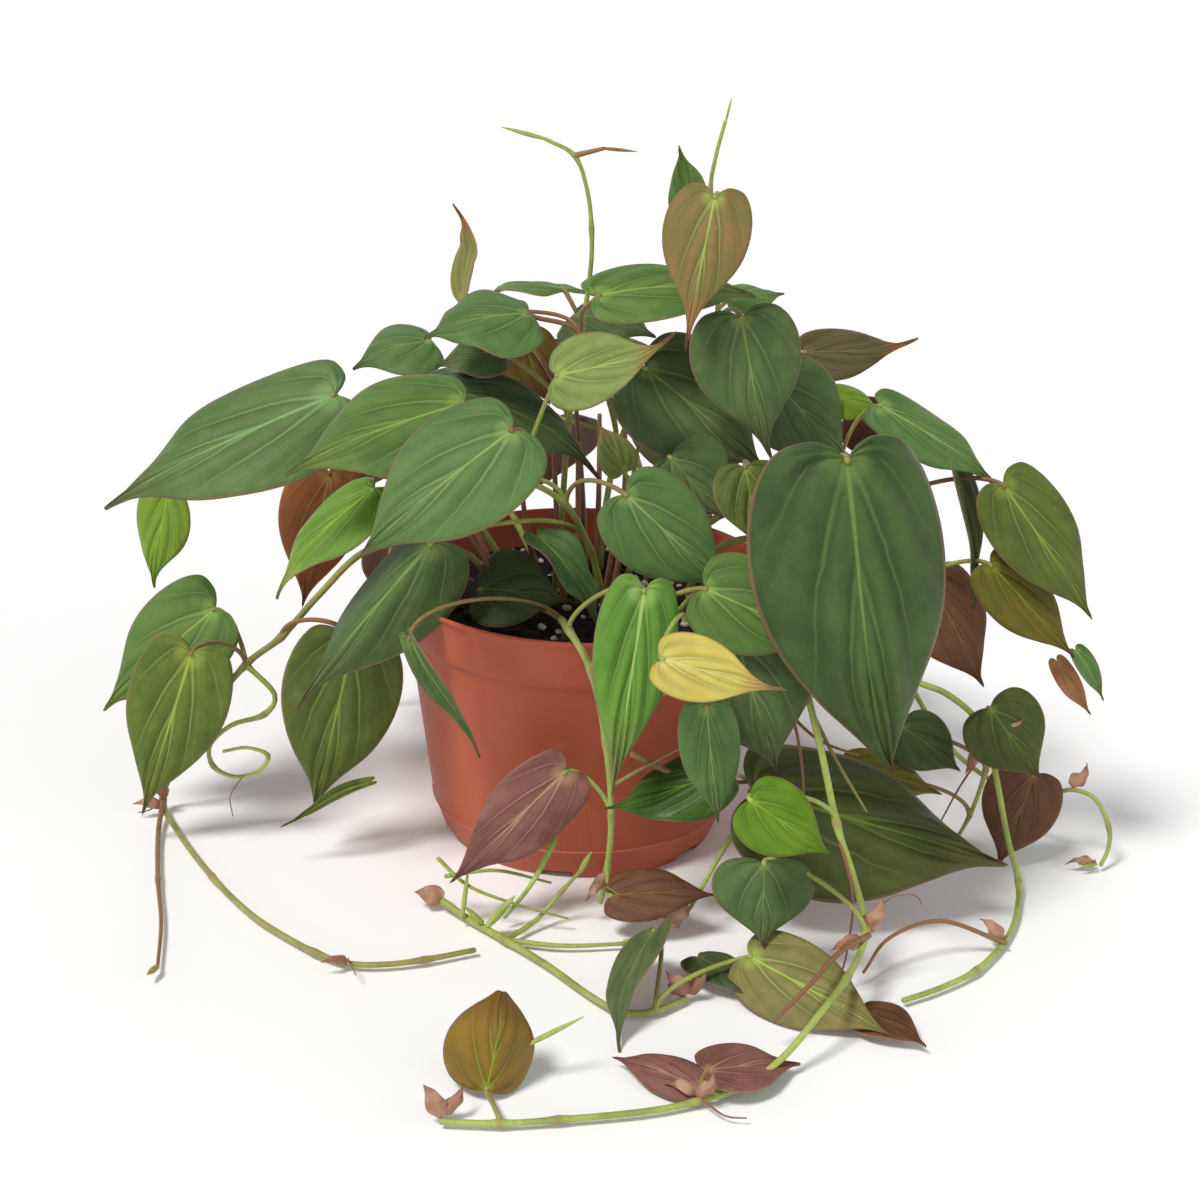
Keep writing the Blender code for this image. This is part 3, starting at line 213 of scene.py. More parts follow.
# ---- leaves, in centimetres
# name: vine, notch, tip, width, the way its upper face looks, arch (rise of the middle of the
# midrib, share of the length), fall of the margins (degrees), look
LEAVES = {
    "leaf_top_spire": ("vine_spire", (4.0, 0.7, 24.5), (3.1, 0.2, 27.9), 2.0,
        (-0.5, -0.8, 0.1), 0.03, 2, "mid"),
    "leaf_top_bronze": ("vine_spire", (4.3, -4.0, 26.8), (3.4, -6.0, 21.7), 3.2,
        (-0.15, -0.95, 0.3), 0.02, 8, "bronze"),
    "leaf_top_left": ("vine_crown", (0.3, -3.4, 23.0), (6.2, -1.4, 22.9), 3.4,
        (-0.1, -0.45, 0.9), 0.05, 10, "mid"),
    "leaf_top_right": ("vine_spire", (5.4, 3.0, 21.5), (7.6, 3.5, 21.5), 2.4,
        (0.0, -0.25, 1.0), 0.06, 6, "mid"),
    "leaf_top_folded": ("vine_crown", (-5.2, 2.5, 21.2), (-4.4, 2.0, 24.7), 2.0,
        (-0.9, -0.45, 0.2), 0.04, -15, "pale_bronze"),
    "leaf_crown_1": ("vine_crown", (-2.5, -0.5, 21.5), (-6.3, -2.0, 20.9), 4.2,
        (-0.05, -0.4, 0.9), 0.06, 10, "green"),
    "leaf_crown_2": ("vine_mound_left", (-6.6, 4.0, 19.1), (-9.6, 3.0, 18.2), 4.0,
        (-0.1, -0.3, 0.9), 0.08, 5, "green"),
    "leaf_crown_3": ("vine_crown", (-2.9, 3.5, 19.5), (-1.6, 2.5, 17.0), 2.6,
        (0.1, -0.9, 0.3), 0.04, 5, "amber"),
    "leaf_crown_4": ("vine_mound_front", (-1.2, -4.5, 20.2), (3.2, -6.6, 21.9), 3.0,
        (0.0, -0.8, 0.6), 0.0, 2, "pale_olive"),
    "leaf_crown_5": ("vine_crown", (-0.7, 3.0, 20.6), (2.5, 1.5, 20.3), 3.8,
        (0.1, -0.4, 0.9), 0.06, 6, "deep"),
    "leaf_left_long": ("vine_mound_left", (-9.9, -1.0, 18.2), (-18.7, -3.0, 14.1), 5.4,
        (-0.2, -0.62, 0.75), 0.02, 12, "green_bronze"),
    "leaf_left_broad": ("vine_mound_front", (-4.7, -4.0, 18.9), (-10.9, -7.0, 17.1), 5.2,
        (-0.15, -0.6, 0.8), 0.03, 12, "mid"),
    "leaf_left_face": ("vine_mound_front", (-2.7, -8.0, 19.1), (-7.8, -10.5, 15.3), 4.8,
        (-0.25, -0.8, 0.55), 0.02, 6, "green"),
    "leaf_left_yellowing": ("vine_mound_left", (-16.7, 0.0, 13.6), (-18.0, 0.5, 9.4), 2.6,
        (-0.3, -0.85, 0.3), -0.06, 5, "lime"),
    "leaf_left_brown": ("vine_mound_left", (-10.6, 3.0, 13.6), (-11.7, 2.0, 8.1), 3.4,
        (0.0, -0.95, 0.2), 0.02, 5, "brown_back"),
    "leaf_left_fresh": ("vine_mound_front", (-8.1, -4.0, 15.4), (-11.8, -6.0, 12.0), 3.0,
        (-0.6, -0.6, 0.5), 0.04, 10, "fresh"),
    "leaf_left_hanging": ("vine_mound_front", (-5.8, -5.5, 13.8), (-10.8, -7.5, 7.8), 3.6,
        (-0.3, -0.8, 0.4), 0.02, 12, "deep"),
    "leaf_left_low": ("vine_left", (-8.8, -5.0, 9.4), (-10.5, -4.5, 1.9), 4.6,
        (0.1, -0.95, 0.2), 0.0, 5, "olive_green"),
    "leaf_left_outer": ("vine_left", (-14.8, -1.2, 9.2), (-19.6, -1.8, 5.0), 4.6,
        (-0.35, -0.75, 0.5), 0.0, 4, "mid"),
    "leaf_left_outer_low": ("vine_left", (-15.1, -4.5, 8.6), (-17.5, -4.0, 1.2), 4.0,
        (0.0, -0.95, 0.2), 0.0, 5, "striped"),
    "leaf_over_mix": ("vine_front", (-4.0, -3.2, 11.2), (-0.6, -4.1, 11.2), 3.4,
        (0.1, -0.7, 0.7), 0.05, -6, "dark"),
    "leaf_mid_long": ("vine_mound_left", (-5.2, -1.0, 18.5), (0.7, -1.5, 15.6), 3.4,
        (0.15, -0.55, 0.85), 0.10, 8, "dark"),
    "leaf_mid_behind": ("vine_crown", (-3.5, 0.5, 19.7), (-6.0, 0.0, 19.2), 2.6,
        (0.0, -0.4, 0.9), 0.06, 4, "deep"),
    "leaf_mid_small": ("vine_mound_right", (1.4, -2.0, 15.8), (0.4, -1.5, 17.5), 1.6,
        (0.3, -0.8, 0.4), 0.03, -10, "pale_olive"),
    "leaf_mid_dark": ("vine_spire", (2.1, -2.5, 20.0), (6.8, -3.5, 16.5), 5.0,
        (0.15, -0.8, 0.6), 0.02, 6, "deep"),
    "leaf_mid_heart": ("vine_spire", (5.5, -4.0, 22.4), (6.6, -5.5, 17.4), 4.2,
        (0.1, -0.9, 0.4), 0.0, 6, "deep"),
    "leaf_mid_low": ("vine_mound_right", (3.1, -5.0, 17.3), (5.1, -6.0, 15.4), 3.6,
        (0.1, -0.8, 0.5), 0.0, 5, "deep"),
    "leaf_mid_light": ("vine_mound_right", (5.7, -7.5, 17.8), (6.2, -8.5, 15.1), 2.6,
        (0.0, -0.95, 0.35), 0.04, -8, "olive_green"),
    "leaf_mid_face": ("vine_mound_front", (1.5, -6.8, 16.4), (5.4, -7.7, 13.1), 3.7,
        (0.0, -0.9, 0.4), 0.0, 5, "green"),
    "leaf_right_dark": ("vine_spire", (7.0, -2.0, 19.5), (10.0, -2.5, 16.6), 4.0,
        (0.15, -0.8, 0.6), 0.0, 5, "deep"),
    "leaf_right_curled": ("vine_spire", (8.4, 1.5, 19.8), (12.7, 0.5, 20.4), 2.8,
        (0.1, -0.6, 0.85), -0.02, 8, "umber"),
    "leaf_right_high": ("vine_arc", (11.1, -2.0, 18.7), (15.8, -3.0, 16.1), 2.4,
        (0.2, -0.65, 0.7), 0.02, 10, "green"),
    "leaf_right_pale": ("vine_spire", (9.3, -0.5, 18.6), (11.5, -0.5, 17.9), 1.8,
        (0.1, -0.5, 0.8), 0.05, 6, "lime"),
    "leaf_right_brown": ("vine_arc", (10.4, 1.0, 17.4), (13.3, 0.5, 15.8), 2.8,
        (0.2, -0.7, 0.7), 0.05, 8, "umber_back"),
    "leaf_right_round": ("vine_arc", (12.7, -4.0, 6.2), (14.9, -5.0, 4.9), 2.6,
        (0.2, -0.8, 0.6), 0.05, 8, "dark"),
    "leaf_right_olive": ("vine_arc", (10.5, -5.0, 4.9), (14.2, -5.4, 4.1), 2.2,
        (0.0, -0.6, 0.8), 0.05, 8, "ochre"),
    "leaf_right_under": ("vine_arc", (13.5, -2.5, 11.8), (15.9, -3.0, 7.6), 3.4,
        (0.3, -0.9, 0.2), 0.0, 5, "umber_back"),
    "leaf_right_shade": ("vine_arc", (15.9, -4.6, 7.4), (18.0, -5.4, 4.8), 3.4,
        (0.1, -0.9, 0.4), 0.0, 5, "dark_olive"),
    "leaf_right_outer": ("vine_arc", (15.8, -3.5, 16.1), (19.6, -4.5, 11.2), 3.4,
        (0.25, -0.9, 0.3), 0.0, 6, "olive_green"),
    "leaf_right_outer_low": ("vine_arc", (15.6, -3.5, 12.9), (19.1, -4.0, 9.4), 2.6,
        (0.1, -0.9, 0.4), 0.0, 5, "ochre_green"),
    "leaf_right_narrow": ("vine_arc", (14.0, -2.5, 16.7), (15.3, -3.0, 10.9), 1.6,
        (0.8, -0.5, 0.1), 0.03, -25, "dark_olive"),
    "leaf_right_low": ("vine_curl", (18.2, -3.0, 3.8), (16.9, -4.4, 0.4), 3.4,
        (0.2, -0.9, 0.4), 0.0, 5, "umber_back"),
    "leaf_front_1": ("vine_front", (4.4, -9.5, 13.9), (8.9, -10.5, 12.3), 3.6,
        (0.05, -0.85, 0.5), 0.0, 5, "mid"),
    "leaf_front_large": ("vine_loop", (9.1, -9.5, 18.8), (10.6, -13.0, 8.4), 7.0,
        (0.12, -0.95, 0.25), 0.0, 8, "deep_ribbed"),
    "leaf_front_bright": ("vine_front", (2.2, -9.5, 13.7), (1.3, -11.5, 6.5), 3.0,
        (0.1, -0.98, 0.2), 0.0, 8, "bright"),
    "leaf_front_yellow": ("vine_front", (2.9, -12.5, 12.4), (7.1, -13.5, 11.6), 2.4,
        (0.05, -0.85, 0.5), 0.05, -8, "yellow"),
    "leaf_front_2": ("vine_loop", (5.6, -10.0, 12.0), (7.2, -11.0, 7.5), 4.8,
        (0.05, -0.95, 0.3), 0.0, 6, "deep"),
    "leaf_front_3": ("vine_front", (4.5, -11.8, 10.3), (5.1, -12.2, 5.9), 2.2,
        (-0.1, -0.95, 0.2), 0.04, -8, "green"),
    "leaf_front_glossy": ("vine_loop", (5.4, -9.0, 6.5), (1.1, -9.8, 5.0), 2.8,
        (-0.1, -0.6, 0.8), 0.0, 10, "glossy"),
    "leaf_front_young": ("vine_loop", (6.1, -14.0, 7.8), (8.9, -14.8, 6.2), 2.7,
        (0.0, -0.9, 0.4), 0.0, 5, "vivid"),
    "leaf_front_round": ("vine_loop", (6.8, -12.4, 4.5), (6.8, -13.9, 2.0), 3.7,
        (0.0, -0.9, 0.4), 0.0, 6, "deep"),
    "leaf_front_low": ("vine_loop", (6.8, -8.8, 5.6), (16.4, -8.6, 2.8), 6.0,
        (0.0, -0.65, 0.75), 0.0, 12, "dark_olive"),
    "leaf_front_brown": ("vine_front", (-0.5, -9.2, 6.3), (-4.7, -9.8, 1.8), 3.0,
        (0.05, -0.97, 0.2), 0.0, 5, "mauve_back"),
    "leaf_front_narrow": ("vine_front", (-6.3, -8.3, 11.1), (-3.3, -8.8, 7.1), 1.0,
        (-0.6, -0.75, 0.1), 0.06, -25, "deep"),
    "leaf_floor_1": ("vine_floor", (2.9, -13.0, 2.0), (1.4, -18.0, 0.4), 2.4,
        (-0.7, -0.5, 0.5), 0.05, -8, "grey_green"),
    "leaf_floor_2": ("vine_floor", (6.4, -13.8, 1.5), (11.0, -17.4, 0.8), 3.2,
        (-0.1, -0.7, 0.7), 0.0, 5, "khaki"),
    "leaf_floor_3": ("vine_loop", (-2.6, -21.2, 0.6), (-2.1, -20.2, 3.4), 3.0,
        (0.1, -0.95, 0.2), 0.05, 10, "copper"),
    "leaf_floor_4": ("vine_loop", (4.7, -20.0, 0.8), (7.9, -18.9, 0.5), 2.6,
        (0.0, -0.1, 0.99), 0.02, -4, "mauve_back"),
    "leaf_floor_5": ("vine_front", (1.4, -9.8, 1.6), (5.3, -10.2, 2.0), 2.2,
        (0.0, -0.6, 0.75), 0.06, 8, "umber_back"),
    "leaf_back_1": ("vine_back_left", (-3.0, 5.0, 18.0), (-8.5, 8.5, 15.5), 4.8,
        (-0.4, 0.5, 0.8), 0.06, 8, "green"),
    "leaf_back_2": ("vine_back", (0.0, 6.0, 19.0), (0.5, 12.0, 15.5), 5.0,
        (0.0, 0.6, 0.8), 0.06, 8, "deep"),
    "leaf_back_3": ("vine_back", (4.0, 5.5, 18.5), (9.0, 9.0, 15.0), 4.8,
        (0.4, 0.5, 0.8), 0.06, 8, "mid"),
    "leaf_back_4": ("vine_back_left", (-6.0, 7.0, 14.6), (-11.5, 9.5, 10.0), 4.6,
        (-0.6, 0.6, 0.6), 0.06, 8, "green"),
    "leaf_back_5": ("vine_back", (-1.5, 9.5, 14.5), (-4.0, 14.0, 8.5), 5.0,
        (-0.2, 0.85, 0.5), 0.06, 8, "deep"),
    "leaf_back_6": ("vine_back", (4.0, 10.0, 14.6), (5.5, 14.5, 9.0), 5.2,
        (0.1, 0.85, 0.5), 0.06, 8, "green"),
    "leaf_back_7": ("vine_curl", (8.5, 7.0, 15.0), (13.0, 9.8, 10.5), 4.6,
        (0.6, 0.6, 0.55), 0.06, 8, "mid"),
    "leaf_back_8": ("vine_back_left", (-7.8, 10.0, 9.6), (-9.5, 12.0, 4.0), 4.2,
        (-0.5, 0.8, 0.3), 0.06, 8, "olive_green"),
    "leaf_back_9": ("vine_back", (-2.0, 11.5, 8.6), (-2.5, 13.0, 2.5), 4.6,
        (0.0, 0.95, 0.3), 0.06, 8, "deep"),
    "leaf_back_10": ("vine_back", (4.4, 12.6, 7.6), (5.0, 14.0, 2.2), 3.6,
        (0.0, 0.95, 0.3), 0.06, 8, "striped"),
    "leaf_back_11": ("vine_curl", (9.8, 9.0, 9.4), (11.2, 11.5, 4.0), 4.2,
        (0.4, 0.85, 0.3), 0.06, 8, "green"),
    "leaf_back_12": ("vine_mound_left", (-9.5, 5.0, 13.5), (-12.0, 7.0, 8.0), 4.0,
        (-0.8, 0.5, 0.4), 0.06, 8, "deep"),
    "leaf_back_13": ("vine_curl", (12.5, 4.6, 12.6), (15.5, 6.5, 8.0), 3.8,
        (0.8, 0.4, 0.5), 0.06, 8, "olive_green"),
    "leaf_back_14": ("vine_back", (-1.2, 5.0, 21.2), (-4.2, 8.0, 20.4), 4.0,
        (-0.1, 0.3, 0.95), 0.06, 8, "mid"),
}

# Small leaves that have no solid of their own: notch, tip, width, face, arch, fall, look.
SMALL_LEAVES = {
    "small_leaf_right_mid": ((12.1, 0.0, 15.5), (14.4, 0.0, 11.2), 1.4,
        (0.4, -0.8, 0.3), 0.05, -15, "green"),
    "small_leaf_right_end": ((19.2, -3.5, 9.5), (20.4, -4.0, 7.6), 0.9,
        (0.3, -0.8, 0.4), 0.06, -20, "green"),
    "small_leaf_right_brown": ((18.6, -3.0, 8.8), (20.2, -3.0, 6.5), 0.9,
        (-0.3, -0.9, 0.2), 0.05, -10, "rust_back"),
    "small_leaf_left_thin": ((-8.3, -4.5, 3.4), (-11.4, -5.0, 1.3), 0.55,
        (-0.2, -0.6, 0.8), 0.14, -20, "olive_green"),
    "small_leaf_floor_rolled": ((4.4, -20.6, 0.5), (1.5, -18.9, 0.5), 1.6,
        (0.3, -0.6, 0.8), 0.06, 10, "mauve_back"),
    "small_leaf_floor_dark": ((4.6, -12.5, 0.7), (6.5, -15.0, 0.5), 2.0,
        (0.2, -0.3, 0.9), 0.06, 4, "dark"),
    "small_leaf_floor_brown": ((10.3, -15.5, 0.5), (12.3, -17.6, 0.5), 2.0,
        (0.1, -0.3, 0.9), 0.04, 0, "umber_back"),
    "small_leaf_mix_folded": ((-1.8, -3.0, 13.4), (0.8, -5.5, 10.6), 1.8,
        (0.5, -0.6, 0.5), 0.08, -25, "green"),
}

# Papery bracts at the nodes: foot, tip, width, the way its face looks.
BRACTS = (
    ((-17.2, -1.0, 0.7), (-17.5, -1.7, 1.8), 0.7, (-0.4, -0.9, 0.2)),
    ((-17.1, -1.3, 0.5), (-18.2, -1.8, 0.9), 0.5, (0.0, -0.8, 0.6)),
    ((-8.1, -13.1, 0.4), (-8.9, -13.6, 0.8), 0.4, (0.0, -0.7, 0.7)),
    ((15.9, -4.2, 6.1), (17.2, -4.9, 6.9), 0.7, (0.2, -0.9, 0.3)),
    ((16.0, -4.3, 5.9), (15.0, -5.0, 4.9), 0.6, (-0.3, -0.9, 0.2)),
    ((16.1, -10.3, 0.5), (15.4, -9.8, 1.2), 0.6, (0.0, -0.7, 0.7)),
    ((10.5, -13.2, 2.3), (11.2, -13.3, 3.6), 0.7, (0.1, -0.9, 0.2)),
    ((10.4, -13.6, 2.2), (9.3, -14.2, 2.3), 0.6, (0.0, -0.8, 0.6)),
    ((4.4, -21.1, 0.4), (4.9, -21.4, 1.4), 0.6, (0.2, -0.9, 0.3)),
    ((4.6, -20.9, 0.4), (3.3, -20.6, 0.8), 0.5, (0.0, -0.7, 0.7)),
    ((-4.0, -22.6, 0.4), (-4.5, -22.3, 1.4), 0.7, (0.0, -0.9, 0.3)),
    ((-3.9, -22.4, 0.4), (-3.2, -21.9, 1.1), 0.5, (0.2, -0.9, 0.3)),
    ((-5.0, -8.7, 0.6), (-6.1, -8.5, 0.9), 0.8, (0.0, -0.9, 0.5)),
    ((3.7, -10.0, 0.4), (4.2, -10.3, 2.0), 0.9, (0.1, -0.95, 0.2)),
    ((4.1, -14.8, 0.4), (3.5, -15.0, 1.4), 0.8, (-0.1, -0.9, 0.3)),
    ((4.1, -14.6, 0.4), (4.9, -14.6, 1.1), 0.6, (0.2, -0.9, 0.3)),
    ((19.9, -2.5, 3.1), (20.5, -2.7, 4.1), 0.7, (0.2, -0.9, 0.2)),
    ((20.9, -3.7, 0.4), (19.7, -3.9, 0.6), 0.4, (0.0, -0.6, 0.8)),
    ((1.3, -8.8, 2.0), (0.4, -9.4, 1.2), 0.5, (-0.2, -0.9, 0.2)),
    ((4.6, -4.6, 12.1), (5.2, -5.6, 13.2), 0.7, (0.2, -0.9, 0.3)),
    ((5.2, -5.2, 11.0), (5.6, -6.4, 9.4), 0.8, (0.3, -0.9, 0.2)),
    ((6.2, -6.4, 12.5), (6.6, -7.8, 13.1), 0.6, (0.2, -0.8, 0.4)),
    ((9.4, -1.4, 12.1), (10.3, -2.3, 12.9), 0.7, (0.2, -0.9, 0.3)),
    ((2.9, 11.6, 7.0), (3.6, 12.6, 7.8), 0.6, (0.3, 0.9, 0.2)),
    ((-3.8, 14.2, 0.4), (-4.9, 14.2, 0.8), 0.6, (0.0, 0.7, 0.7)),
    ((-9.2, 9.2, 5.0), (-10.1, 9.9, 5.8), 0.6, (-0.4, 0.9, 0.2)),
    ((-12.6, 12.6, 0.4), (-13.4, 12.9, 0.7), 0.5, (0.0, 0.7, 0.7)),
)

# Rolled buds and growing tips: foot, tip, thickest radius in millimetres, blush.
BUDS = (
    ((-1.9, -1.1, 28.2), (-3.5, -1.2, 28.6), 0.9, 0.2),
    ((0.2, -1.0, 27.9), (1.5, -0.9, 27.8), 0.7, 0.9),
    ((4.7, -1.0, 28.9), (4.9, -1.0, 29.9), 0.5, 0.1),
    ((-14.9, -13.8, 0.35), (-15.1, -14.6, 0.5), 1.3, 0.5),
    ((-4.2, -9.8, 0.4), (-4.0, -9.4, 2.4), 1.0, 0.2),
    ((-3.2, -10.4, 0.5), (-2.2, -10.6, 1.9), 1.8, 0.0),
    ((-3.4, -10.2, 0.5), (-4.1, -10.6, 1.4), 1.2, 0.05),
    ((0.2, -9.5, 2.4), (0.6, -9.6, 3.3), 1.3, 0.1),
    ((1.9, -11.1, 0.4), (3.0, -10.9, 0.5), 1.0, 0.2),
    ((20.9, -3.9, 0.4), (20.2, -4.2, 0.4), 0.9, 0.1),
    ((-1.4, -20.0, 1.5), (0.5, -19.4, 2.3), 1.0, 0.1),
    ((5.1, -0.4, 18.6), (5.6, -1.2, 20.2), 1.2, 0.3),
    ((-3.8, 14.2, 0.4), (-4.6, 14.5, 1.3), 1.3, 0.2),
)

# Aerial roots and dry stalks: points, thickest radius in millimetres, blush.
ROOTS = (
    (((-13.4, -3.4, 3.0), (-13.9, -3.7, 2.2), (-13.8, -3.9, 1.4)), 0.35, 1.0),
    (((-17.2, -1.0, 0.7), (-17.6, -1.6, 0.4), (-18.1, -1.7, 0.3)), 0.45, 1.0),
    (((-8.1, -13.1, 0.5), (-8.0, -13.8, 0.8), (-7.7, -14.2, 0.5)), 0.40, 1.0),
    (((10.5, -13.0, 2.6), (11.4, -12.8, 3.5), (12.2, -12.9, 3.7), (12.5, -13.0, 3.4)), 0.40, 1.0),
    (((9.4, -11.6, 5.6), (10.0, -12.8, 3.6), (9.9, -13.4, 1.6), (9.6, -13.6, 0.3)), 0.60, 1.0),
    (((4.4, -21.1, 0.4), (5.2, -21.9, 0.3), (5.9, -22.0, 0.3)), 0.45, 1.0),
    (((16.0, -4.2, 5.6), (15.0, -4.8, 4.2), (14.2, -5.2, 2.6)), 0.55, 1.0),
    (((16.2, -10.4, 0.4), (13.6, -11.0, 1.6), (11.6, -12.0, 1.4), (10.6, -13.0, 0.5)), 1.05, 0.9),
    (((10.6, -13.6, 2.4), (9.4, -15.2, 2.6), (8.2, -16.6, 2.0), (7.0, -17.6, 1.2)), 1.25, 0.95),
    (((2.0, -8.8, 7.0), (3.4, -8.6, 6.2), (4.9, -8.2, 5.6), (6.4, -8.0, 5.6)), 1.35, 0.9),
    (((1.2, -8.8, 5.6), (2.6, -8.9, 6.6), (4.2, -8.6, 7.4), (5.6, -8.0, 7.3)), 0.9, 0.7),
    (((6.6, -8.0, 7.6), (7.7, -9.0, 8.8), (8.2, -9.4, 7.2), (8.4, -9.6, 5.4)), 0.8, 0.95),
    (((8.6, -7.2, 8.4), (9.6, -8.4, 6.8), (10.8, -9.0, 5.0)), 0.9, 0.6),
    (((7.2, -6.6, 8.6), (8.8, -8.2, 7.6), (10.3, -9.2, 7.4)), 0.8, 0.8),
    (((6.8, -8.4, 5.4), (5.4, -9.4, 3.2), (4.4, -9.8, 1.2), (3.8, -9.9, 0.4)), 1.2, 0.1),
    (((3.8, -9.9, 0.6), (2.4, -9.9, 1.2), (1.2, -9.7, 1.9)), 0.6, 0.5),
    (((-0.8, -8.6, 3.2), (-1.6, -9.4, 1.8), (-2.6, -9.8, 0.5)), 1.2, 0.0),
    (((-5.2, -8.8, 2.4), (-4.0, -9.4, 1.6), (-2.2, -9.8, 1.1), (-0.2, -9.9, 0.6)), 0.8, 0.2),
    (((-4.9, -8.9, 1.7), (-3.0, -8.7, 1.9), (-0.9, -8.8, 1.5)), 0.9, 0.05),
)

# Old stalks that crowd the middle of the pot: foot, head.
OLD_STALKS = (
    ((-0.8, -0.6, 9.6), (-1.4, 0.2, 17.0)), ((-0.2, -1.0, 9.6), (-0.4, -0.6, 16.4)),
    ((0.4, -0.4, 9.6), (0.4, 0.0, 17.4)), ((1.0, -0.9, 9.6), (1.9, -0.2, 16.0)),
    ((0.1, 0.4, 9.6), (-0.6, 1.4, 17.8)), ((1.2, 0.2, 9.6), (1.4, 1.4, 17.0)),
    ((-1.6, -0.9, 9.6), (-2.6, -1.2, 15.4)), ((0.7, -1.6, 9.6), (1.2, -2.4, 14.4)),
    ((-2.4, -1.8, 9.6), (-4.6, -2.8, 13.4)), ((1.9, -1.6, 9.6), (3.6, -3.4, 13.0)),
    ((-3.2, 0.2, 9.6), (-5.2, 1.8, 14.6)), ((2.4, 1.8, 9.6), (4.4, 4.4, 15.0)),
)

# How some blades differ from a plain one.  curl: droop of the tip, share of the length (negative
# lifts it).  sweep: the tip's sideways bend.  twist: turn of the tip half, degrees.  wave: ripple of
# the margins, share of the length.  quilt: height of the bulges between veins, share of the length.
# drip: how far the outline goes from HEART (0) to DRIP (1).  fold: how far both halves fold back from
# the midrib, degrees.
HABITS = {
    "leaf_top_spire": {"curl": -0.02, "twist": 35.0, "wave": 0.02},
    "leaf_top_bronze": {"quilt": 0.016, "curl": 0.03, "drip": 1.0},
    "leaf_top_left": {"twist": 12.0, "curl": 0.06},
    "leaf_top_right": {"curl": -0.05},
    "leaf_top_folded": {"curl": -0.25, "sweep": 0.22, "twist": 60.0},
    "leaf_crown_1": {"wave": 0.030, "quilt": 0.016},
    "leaf_crown_4": {"curl": -0.06, "sweep": 0.10, "quilt": 0.016, "drip": 1.0},
    "leaf_left_long": {"curl": 0.10, "sweep": -0.05, "wave": 0.014, "quilt": 0.015, "drip": 0.3},
    "leaf_left_broad": {"curl": 0.05, "quilt": 0.018, "drip": 0.4},
    "leaf_left_face": {"curl": 0.04, "quilt": 0.024, "drip": 0.0},
    "leaf_left_yellowing": {"curl": 0.10, "sweep": 0.08},
    "leaf_left_fresh": {"curl": 0.12, "twist": 25.0},
    "leaf_left_hanging": {"curl": 0.06, "twist": 15.0, "quilt": 0.016, "drip": 0.6, "fold": 40.0},
    "leaf_left_outer": {"curl": 0.10, "quilt": 0.020, "drip": 0.4},
    "leaf_left_outer_low": {"curl": 0.04, "quilt": 0.018, "drip": 0.4},
    "leaf_mid_long": {"curl": 0.10, "drip": 0.6},
    "leaf_mid_heart": {"curl": 0.05, "sweep": 0.05, "drip": 0.7},
    "leaf_right_curled": {"curl": -0.10, "twist": 30.0, "drip": 1.0},
    "leaf_right_high": {"curl": 0.08, "wave": 0.020},
    "leaf_right_outer": {"curl": 0.06, "quilt": 0.010},
    "leaf_front_large": {"quilt": 0.060, "fold": 8.0, "wave": 0.014, "curl": 0.05, "sweep": 0.05,
                         "drip": -0.20},
    "leaf_front_bright": {"quilt": 0.036, "curl": 0.05, "drip": 0.5},
    "leaf_front_yellow": {"curl": -0.04, "sweep": 0.04, "drip": 0.9},
    "leaf_front_glossy": {"quilt": 0.020, "wave": 0.030, "curl": -0.10},
    "leaf_front_young": {"quilt": 0.016, "curl": 0.05},
    "leaf_front_low": {"quilt": 0.034, "wave": 0.020, "fold": 10.0},
    "leaf_front_brown": {"quilt": 0.018, "wave": 0.030, "curl": 0.04},
    "leaf_front_narrow": {"curl": -0.14},
    "leaf_floor_1": {"curl": 0.10, "twist": 15.0},
    "leaf_floor_2": {"quilt": 0.010, "curl": 0.05},
    "leaf_floor_3": {"quilt": 0.030, "curl": 0.34, "wave": 0.030, "drip": -0.8, "fold": 32.0},
    "small_leaf_left_thin": {"curl": -0.18},
    "small_leaf_mix_folded": {"twist": 60.0, "wave": 0.05},
}
PLAIN_HABIT = {"curl": 0.03, "sweep": 0.0, "twist": 0.0, "wave": 0.010, "quilt": 0.024, "drip": 0.25,
               "fold": 0.0}

